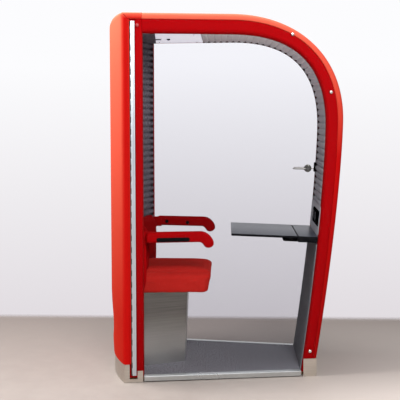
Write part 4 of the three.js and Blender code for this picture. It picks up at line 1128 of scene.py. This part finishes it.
# %% [markdown]
# The armrests are foam over a steel core, shaped like a hockey stick with a drooping round end. The
# outline is drawn in side view as a chain of curves, and carried across the width; near both faces
# it draws in along a quarter circle, which gives the soft rim.

# %% Armrests
ARM_INSET, ARM_WIDTH, ARM_RIM = 0.018, 0.052, 0.013
ARM_MIDDLE = (ARM_INSET + ARM_WIDTH / 2) * math.sin(SLANT)
ARM_REAR, ARM_TOP, ARM_BOTTOM = 0.128, 0.903, 0.840
# The far arm and its bracket cover take the deeper red of painted shade.
ARM_WOOL = {NEAR: frame_wool, FAR: painted_shade_wool}


def chain(start, *legs):
    """A closed outline of curves. Each has a number of steps, and its controls after the point where
    the one before it ended."""
    outline, here = [], start
    for steps, *controls in legs:
        outline += bezier([here, *controls], steps)
        here = controls[-1]
    return [Vector(spot) for spot in outline]


def drawn_in(outline, distance):
    """The outline moved inwards. It runs counter-clockwise in x and z."""
    moved = []
    for i, spot in enumerate(outline):
        along = (outline[(i + 1) % len(outline)] - outline[i - 1]).normalized()
        moved.append(spot + distance * Vector((-along.y, along.x)))
    return moved


def both_faces(rim, low, high):
    """How far a slab's outline is drawn in at each inset, over the rims of both its faces."""
    first = [(draw, low + depth) for draw, depth in rim]
    return first + [(draw, high - depth) for draw, depth in rim[::-1]]


def slab_rings(side, outline, middle, stations):
    return [
        [on_glass(side, REAR + spot.x + middle, inset, spot.y) for spot in drawn_in(outline, draw)]
        for draw, inset in stations
    ]


arm_outline = chain(
    (ARM_REAR, ARM_BOTTOM + 0.018),
    (8, (ARM_REAR, ARM_BOTTOM), (ARM_REAR + 0.018, ARM_BOTTOM)),
    (20, (0.440, ARM_BOTTOM)),
    (8, (0.461, ARM_BOTTOM), (0.472, 0.820)),
    (14, (0.484, 0.797), (0.520, 0.800), (0.530, 0.822)),
    (16, (0.540, 0.846), (0.506, ARM_TOP), (0.452, ARM_TOP)),
    (20, (ARM_REAR + 0.026, ARM_TOP)),
    (8, (ARM_REAR, ARM_TOP), (ARM_REAR, ARM_TOP - 0.026)),
    (2, (ARM_REAR, ARM_BOTTOM + 0.018)),
)
arm_rim = quarter(ARM_RIM, 6)
arm_stations = both_faces(arm_rim, ARM_INSET, ARM_INSET + ARM_WIDTH)
arm_stations.insert(len(arm_rim), (0.0, ARM_INSET + ARM_WIDTH / 2))
for side, name in SIDES.items():
    pad = swept(f"{name}_arm_pad", slab_rings(side, arm_outline, ARM_MIDDLE, arm_stations))
    settle(pad, ARM_WOOL[side], f"{name}_arm", "deep_red_fabric", f"{name}_armrest", angle=50)

# %% [markdown]
# Each arm hangs on a bracket beside the stile. A wrapped cover hides the steel: a short tab behind
# the arm's pivot, and a post below it that narrows towards the seat. It is made as the arm is, from a
# chain of curves, with a much finer rim.

# %% Arm bracket covers
COVER_INSET, COVER_RIM = (0.0724, 0.0803), [(0.003, 0.0), (0.0009, 0.0009), (0.0, 0.003)]
COVER_MIDDLE = sum(COVER_INSET) / 2 * math.sin(SLANT)
COVER_REAR, TAB, POST = 0.1035, 0.167, 0.127  # x from the rear corner line, as for the arm
COVER_TOP, TAB_UNDER, POST_FOOT = 0.902, 0.836, 0.535

cover_outline = chain(
    (COVER_REAR, POST_FOOT),
    (10, (COVER_REAR + 0.012, POST_FOOT + 0.02), (POST, POST_FOOT + 0.05), (POST, POST_FOOT + 0.12)),
    (8, (POST, TAB_UNDER - 0.012)),
    (5, (POST, TAB_UNDER), (POST + 0.012, TAB_UNDER)),
    (2, (TAB - 0.008, TAB_UNDER)),
    (5, (TAB, TAB_UNDER), (TAB, TAB_UNDER + 0.008)),
    (4, (TAB, COVER_TOP - 0.008)),
    (5, (TAB, COVER_TOP), (TAB - 0.008, COVER_TOP)),
    (4, (COVER_REAR, COVER_TOP)),
    (14, (COVER_REAR, POST_FOOT)),
)
stations = both_faces(COVER_RIM, *COVER_INSET)
for side, name in SIDES.items():
    rings = slab_rings(side, cover_outline, COVER_MIDDLE, stations)
    cover = swept(f"{name}_arm_bracket_cover", rings)
    settle(cover, ARM_WOOL[side], "pod", "deep_red_fabric", f"{name}_arm_bracket", angle=50)

# %% [markdown]
# Each armrest carries a slim black plate on its outer face and two black plugs on its inner face,
# which cover the screws. The plate has round ends and is left bare. A plug is a turned piece: its
# profile goes round an axis.

# %% Arm plates and plugs
PLATE_X, PLATE_Z, PLATE_ROUND = (REAR + 0.188, REAR + 0.386), (0.8465, 0.8715), 0.0115
PLATE_STATIONS = [(0.0, 0.0179), (0.0, 0.0155), (0.0006, 0.0149), (0.002, 0.0146)]
PLUGS = ((0.205, 0.869), (0.348, 0.864))
PLUG = [(0.0122, 0.0), (0.0122, 0.0020), (0.0110, 0.0033), (0.005, 0.004), (0.0005, 0.0041)]


def plate_outline(draw):
    left, right = PLATE_X[0] + PLATE_ROUND, PLATE_X[1] - PLATE_ROUND
    low, high = PLATE_Z[0] + PLATE_ROUND, PLATE_Z[1] - PLATE_ROUND
    radius = PLATE_ROUND - draw
    spots = []
    for x, z, start in ((right, low, -90), (right, high, 0), (left, high, 90), (left, low, 180)):
        for turn in spread(start, start + 90, 6):
            a = math.radians(turn)
            spots.append((x + radius * math.cos(a), z + radius * math.sin(a)))
    return spots


def turned(name, profile, foot, axis, facets=40):
    """A turned piece. profile gives radius and height from its foot along its axis."""
    turn = Vector(axis).to_track_quat("Z", "Y").to_matrix()
    rings = [
        [foot + turn @ Vector((r * c, r * s, h)) for c, s in circle(facets)] for r, h in profile
    ]
    return swept(name, rings)


for side, name in SIDES.items():
    rings = [
        [on_glass(side, x + ARM_MIDDLE, inset, z) for x, z in plate_outline(draw)]
        for draw, inset in PLATE_STATIONS
    ]
    plate = swept(f"{name}_arm_badge", rings)
    stands_for = ["near_arm_plate"] if side == NEAR else []
    settle(plate, black_plastic, f"{name}_arm", "black", *stands_for)
    inward = Vector((-math.sin(SLANT), -side * math.cos(SLANT), 0))
    for i, (x, z) in enumerate(PLUGS, 1):
        foot = on_glass(side, REAR + x + ARM_MIDDLE, ARM_INSET + ARM_WIDTH - 0.001, z)
        plug = turned(f"{name}_arm_plug_{i}", PLUG, foot, inward, 24)
        settle(plug, black_plastic, f"{name}_arm", "black")

# %% [markdown]
# The table is laminate board with black edges. The leaf is hinged to a thicker shelf on the wall,
# and the whole table tips up a little towards the seat. Two black arms under the joint carry the
# leaf. Boards are outlines carried across, with a fine edge from a Bevel; the top faces take the
# charcoal, the rest is black.

# %% Table
TABLE_TILT = Matrix.Translation((REAR + 1.048, 0, 0.863)) @ Matrix.Rotation(math.radians(2.1), 4, "Y")
TABLE_HALF, SUPPORT_Y, SUPPORT_HALF = 0.25, 0.185, 0.02
LEAF = [  # x and z from the joint
    (-0.408, -0.014), (-0.0005, -0.014), (-0.0005, -0.007), (-0.004, -0.007), (-0.004, 0.0),
    (-0.408, 0.0),
]
SHELF = [
    (0.0005, -0.037), (0.1184, -0.037), (0.1214, 0.0), (0.004, 0.0), (0.004, -0.007),
    (0.0005, -0.007),
]
SUPPORT = [
    (0.0002, -0.0143), (-0.0915, -0.0143), (-0.0925, -0.0165), (-0.0915, -0.025),
    (-0.0885, -0.034), (-0.0845, -0.039), (-0.079, -0.041), (0.0002, -0.041),
]


def carried(name, outline, middle, half, edge, segments):
    """A side-view outline carried across the table and tilted with it, with its edges rounded."""
    ends = (middle - half, middle + half)
    piece = swept(name, [[TABLE_TILT @ Vector((x, y, z)) for x, z in outline] for y in ends])
    finish_with(piece, "BEVEL", width=edge, segments=segments, limit_method="ANGLE")
    return piece


def board(name, outline):
    piece = carried(name, outline, 0, TABLE_HALF, 0.0008, 2)
    for finish in (laminate_edge, laminate_top):
        piece.data.materials.append(finish)
    level = TABLE_TILT.inverted()
    for face in piece.data.polygons:
        face.material_index = 1 if (level @ face.center).z > -0.0004 else 0
    return piece


settle(board("table_leaf_board", LEAF), None, "table_leaf", "charcoal", "table_leaf", angle=30)
settle(board("table_shelf_board", SHELF), None, "pod", "charcoal", "table_shelf", angle=30)
for side, name in SIDES.items():
    support = carried(f"{name}_leaf_support", SUPPORT, side * SUPPORT_Y, SUPPORT_HALF, 0.0025, 3)
    settle(support, black_plastic, "pod", "black", f"{name}_table_bracket")

# %% [markdown]
# The power unit sits in the light panel above the table and leans with the wall. It is a moulded
# black plate with round corners and two round sockets. A block gets its corners rounded, then a fine
# rim, and two cylinders are cut out of it for the sockets. A grey ring stands round each socket.

# %% Power unit
POWER_Y, POWER_Z, POWER_WIDTH, POWER_HEIGHT = -0.04, 0.96, 0.3, 0.095
POWER_FRONT, POWER_REAR = -0.005, 0.014
SOCKETS = (0.0, 0.1)  # across, from the middle of the plate
RIM = [  # radius and height of the ring's section
    (0.0224, 0.0), (0.0262, 0.0), (0.0268, 0.0006), (0.0262, 0.0018), (0.0234, 0.0018),
    (0.0224, 0.0006), (0.0224, 0.0),
]
above, below = (wall_x(ARCH_INNER, POWER_Z + s * POWER_HEIGHT / 2) for s in (1, -1))
power_lean = Matrix.Rotation(math.atan((above - below) / POWER_HEIGHT), 4, "Y")
power_place = Matrix.Translation((wall_x(ARCH_INNER, POWER_Z), POWER_Y, POWER_Z)) @ power_lean


def runs_deep(edge):
    a, b = edge.verts
    return abs(a.co.x - b.co.x) > 0.01


def front_rim(edge):
    return all(corner.co.x < POWER_FRONT + 0.0001 for corner in edge.verts)


bpy.ops.mesh.primitive_cube_add(size=1)
power = bpy.context.object
power.name = power.data.name = "power_face"
for corner in power.data.vertices:
    x = POWER_REAR if corner.co.x > 0 else POWER_FRONT
    corner.co = (x, corner.co.y * POWER_WIDTH, corner.co.z * POWER_HEIGHT)
round_edges(power, runs_deep, 0.02, 8)
round_edges(power, front_rim, 0.0025, 3)
for y in SOCKETS:
    bpy.ops.mesh.primitive_cylinder_add(
        vertices=48, radius=0.0223, depth=0.0163, location=(0.00215, y, 0), rotation=(0, math.pi / 2, 0)
    )
    cut(power, bpy.context.object)
power.data.transform(power_place)
settle(power, matt_black, "pod", "black", "power_module")
outward = power_place.to_3x3() @ Vector((-1, 0, 0))
for i, y in enumerate(SOCKETS, 1):
    rim = turned(f"socket_rim_{i}", RIM, power_place @ Vector((-0.0049, y, 0)), outward)
    settle(rim, socket_grey, "pod", "charcoal")

# %% [markdown]
# The rear edge of the near glass stands in an aluminium profile. A fine groove parts its flat from a
# rounded bead, and a comb of short teeth along its rear edge grips the padding over a dark brush
# seal. The section is swept up the edge; one tooth is modelled and repeated with an Array.

# %% Glazing profile
PROFILE_Z = (0.042, 2.149)
PROFILE = [  # metres from the rear corner line, and in from the glass plane
    (0.0488, 0.0060), (0.0488, -0.0012), (0.0496, -0.0020), (0.0588, -0.0020), (0.0593, -0.0004),
    (0.0607, -0.0004), (0.0612, -0.0015), (0.0630, -0.0022), (0.0660, -0.0025), (0.0692, -0.0022),
    (0.0712, -0.0011), (0.0720, 0.0006), (0.0720, 0.0060),
]
TOOTH_X, SEAL_X = (REAR + 0.0462, REAR + 0.0492), (REAR + 0.0412, REAR + 0.0486)
HEM_X = (REAR + 0.0316, REAR + 0.0408)
TOOTH_FOOT, TOOTH_LENGTH, TOOTH_PITCH, TEETH = PROFILE_Z[0] + 0.01, 0.036, 0.07, 30


def joined(name, pieces):
    bpy.ops.object.select_all(action="DESELECT")
    for piece in pieces:
        piece.select_set(True)
    bpy.context.view_layer.objects.active = pieces[0]
    bpy.ops.object.join()
    pieces[0].name = pieces[0].data.name = name
    return pieces[0]


rings = [[on_glass(NEAR, REAR + x, inset, z) for x, inset in PROFILE] for z in PROFILE_Z]
bar = swept("glazing_profile", rings)
tooth_z = (TOOTH_FOOT, TOOTH_FOOT + TOOTH_LENGTH)
tooth = block_beside("tooth", NEAR, TOOTH_X, (-0.0016, 0.004), tooth_z, 0.001, place=on_glass)
finish_with(
    tooth, "ARRAY", count=TEETH, use_relative_offset=False, use_constant_offset=True,
    constant_offset_displace=(0, 0, TOOTH_PITCH),
)
profile = joined("glazing_profile", [bar, tooth])
settle(profile, profile_aluminium, "pod", "aluminium", "pane_profile", angle=30)
seal = block_beside(
    "profile_brush_seal", NEAR, SEAL_X, (0.0022, 0.0075), PROFILE_Z, 0.001, place=on_glass
)
settle(seal, brush_seal, "pod", "black")
hem_z = (PLINTH_TOP + 0.001, 2.16)
hem = block_beside("padding_hem", NEAR, HEM_X, (0.0006, 0.0075), hem_z, 0.0012, place=on_glass)
settle(hem, shell_wool, "pod", "red_fabric")

# %% [markdown]
# The lever is a bent, brushed bar on both sides of the door, thinner towards its tip. A curve with a
# round bevel would do for an even bar; here each ring has its own radius. A turned rose lies under it
# on each side.

# %% Lever and roses
LATCH_X, LATCH_Z = REAR + 1.156, 1.242
LEVER_BEND, LEVER_LENGTH, LEVER_INSETS = 0.012, 0.097, (0.0563, -0.038)
ALONG_LEVER = (0.15, 0.35, 0.55, 0.75, 0.9, 0.97, 1.0)  # shares of its straight part
NECK_RADIUS = 0.0049
GRIP_RADII = [0.0056, 0.0058, 0.0058, 0.0056, 0.0054, 0.0051, 0.0047, 0.0036, 0.001]
OUTER_ROSE = [
    (0.0056, 0.0), (0.0245, 0.0), (0.025, 0.0006), (0.025, 0.0052), (0.0242, 0.0068),
    (0.0225, 0.0077), (0.0095, 0.0077), (0.0088, 0.0068), (0.0056, 0.0068), (0.0056, 0.0),
]
INNER_ROSE = [
    (0.0056, 0.0), (0.0245, 0.0), (0.025, 0.0006), (0.025, 0.0155), (0.0243, 0.0172),
    (0.0226, 0.018), (0.0198, 0.018), (0.0190, 0.0166), (0.0182, 0.018), (0.0105, 0.018),
    (0.0095, 0.0165), (0.0056, 0.0165), (0.0056, 0.0),
]


def lever_path(inset):
    """From the door outwards, round a bend, and along the glass towards the seat."""
    back = LEVER_BEND if inset > 0 else -LEVER_BEND
    along = Vector((-math.cos(SLANT), math.sin(SLANT), 0))
    start, before, knee = (
        on_glass(FAR, LATCH_X, depth, LATCH_Z) for depth in (0.004, inset - back, inset)
    )
    after, tip = knee + along * LEVER_BEND, knee + along * LEVER_LENGTH
    path = [start.lerp(before, t) for t in spread(0, 1, 4)]
    path += [Vector(spot) for spot in bezier([before, knee, after], 8)]
    return path + [after.lerp(tip, t) for t in ALONG_LEVER]


bars = []
for inset in LEVER_INSETS:
    path = lever_path(inset)
    radii = [NECK_RADIUS] * (len(path) - len(GRIP_RADII)) + GRIP_RADII
    bars.append(rod("lever_bar", path, radii))
lever = joined("lever_handle", bars)
settle(lever, brushed_steel, "door_lever", "stainless", "door_lever", angle=50)

outward = Vector((math.sin(SLANT), math.cos(SLANT), 0))
for name, section, inset, axis, node_name in (
    ("outer_rose_disc", OUTER_ROSE, -0.0003, outward, "outer_rose"),
    ("inner_rose_disc", INNER_ROSE, 0.0083, -outward, "latch_case"),
):
    rose = turned(name, section, on_glass(FAR, LATCH_X, inset, LATCH_Z), axis, 48)
    settle(rose, satin_steel, "door", "stainless", node_name)

# %% [markdown]
# A black keeper on the frame hides the strike: a strip on the wall, with its edges rounded by a Bevel.
# Four domed caps hold the near glass at its corners. They are turned from one profile. The one on the
# rear stile is lacquered red, and the others are polished.

# %% Keeper and glass caps
STRIKE_Z = (1.284, 1.224)
CAPS = [(0.088, 2.125), (1.0, 2.082), (1.236, 1.74), (1.124, 0.156)]
DOME = [
    (0.010, 0.0), (0.010, 0.0022), (0.0093, 0.0038), (0.0072, 0.005), (0.004, 0.0057),
    (0.0006, 0.0059),
]
strike_spots = [(0.0, wall_x(ARCH_INNER, z), z, (-1.0, 0.0)) for z in STRIKE_Z]
strike = strip_on_wall("strike_cover", FAR, strike_spots, (0.0345, 0.0805), (0.0003, 0.0105))
finish_with(strike, "BEVEL", width=0.004, segments=2, limit_method="ANGLE")
settle(strike, matt_black, "pod", "black")
toward = Vector((math.sin(SLANT), -math.cos(SLANT), 0))
for i, (x, z) in enumerate(CAPS, 1):
    cap = turned(f"glass_cap_{i}", DOME, on_glass(NEAR, REAR + x, -0.0003, z), toward, 32)
    finish = red_coat if i == 1 else polished_steel
    settle(cap, finish, "pod", "stainless", f"pane_cap_{i}", angle=60)

# %% [markdown]
# The ceiling panel carries a small dark sensor and the heads of its screws. Two grey lips stand along
# the part of the air slot that the felt strip leaves bare. Dots in the panel's material could stand
# for them from afar, but real shapes cast a shadow and hold up in a close view.

# %% Ceiling fittings
DOWN = Vector((0, 0, -1))
BUD = [
    (0.012, 0.0), (0.012, 0.002), (0.0105, 0.005), (0.007, 0.0075), (0.003, 0.0086),
    (0.0005, 0.0088),
]
SCREW = [(0.006, 0.0), (0.006, 0.0008), (0.005, 0.0018), (0.0024, 0.0022), (0.0005, 0.0022)]
SCREWS = ((0.16, -0.28), (0.16, 0.28), (0.41, -0.26), (0.41, 0.26))
LIP_X, LIP_Z, LIPS = (-0.448, -0.404), (2.0765, CEILING), ((0.0300, 0.0330), (0.0390, 0.0420))

sensor = turned("ceiling_sensor", BUD, Vector((REAR + 0.238, 0.03, CEILING)), DOWN, 28)
settle(sensor, black_plastic, "pod", "black", angle=60)
for i, (x, y) in enumerate(SCREWS, 1):
    screw = turned(f"ceiling_screw_{i}", SCREW, Vector((REAR + x, y, CEILING)), DOWN, 20)
    settle(screw, black_plastic, "pod", "black")
for i, (y0, y1) in enumerate(LIPS, 1):
    corners = list(zip(LIP_X + LIP_X[::-1], (y0, y0, y1, y1)))
    lip = upright_block(f"air_slot_lip_{i}", corners, LIP_Z, 0.0006, 2)
    settle(lip, socket_grey, "pod", "charcoal")
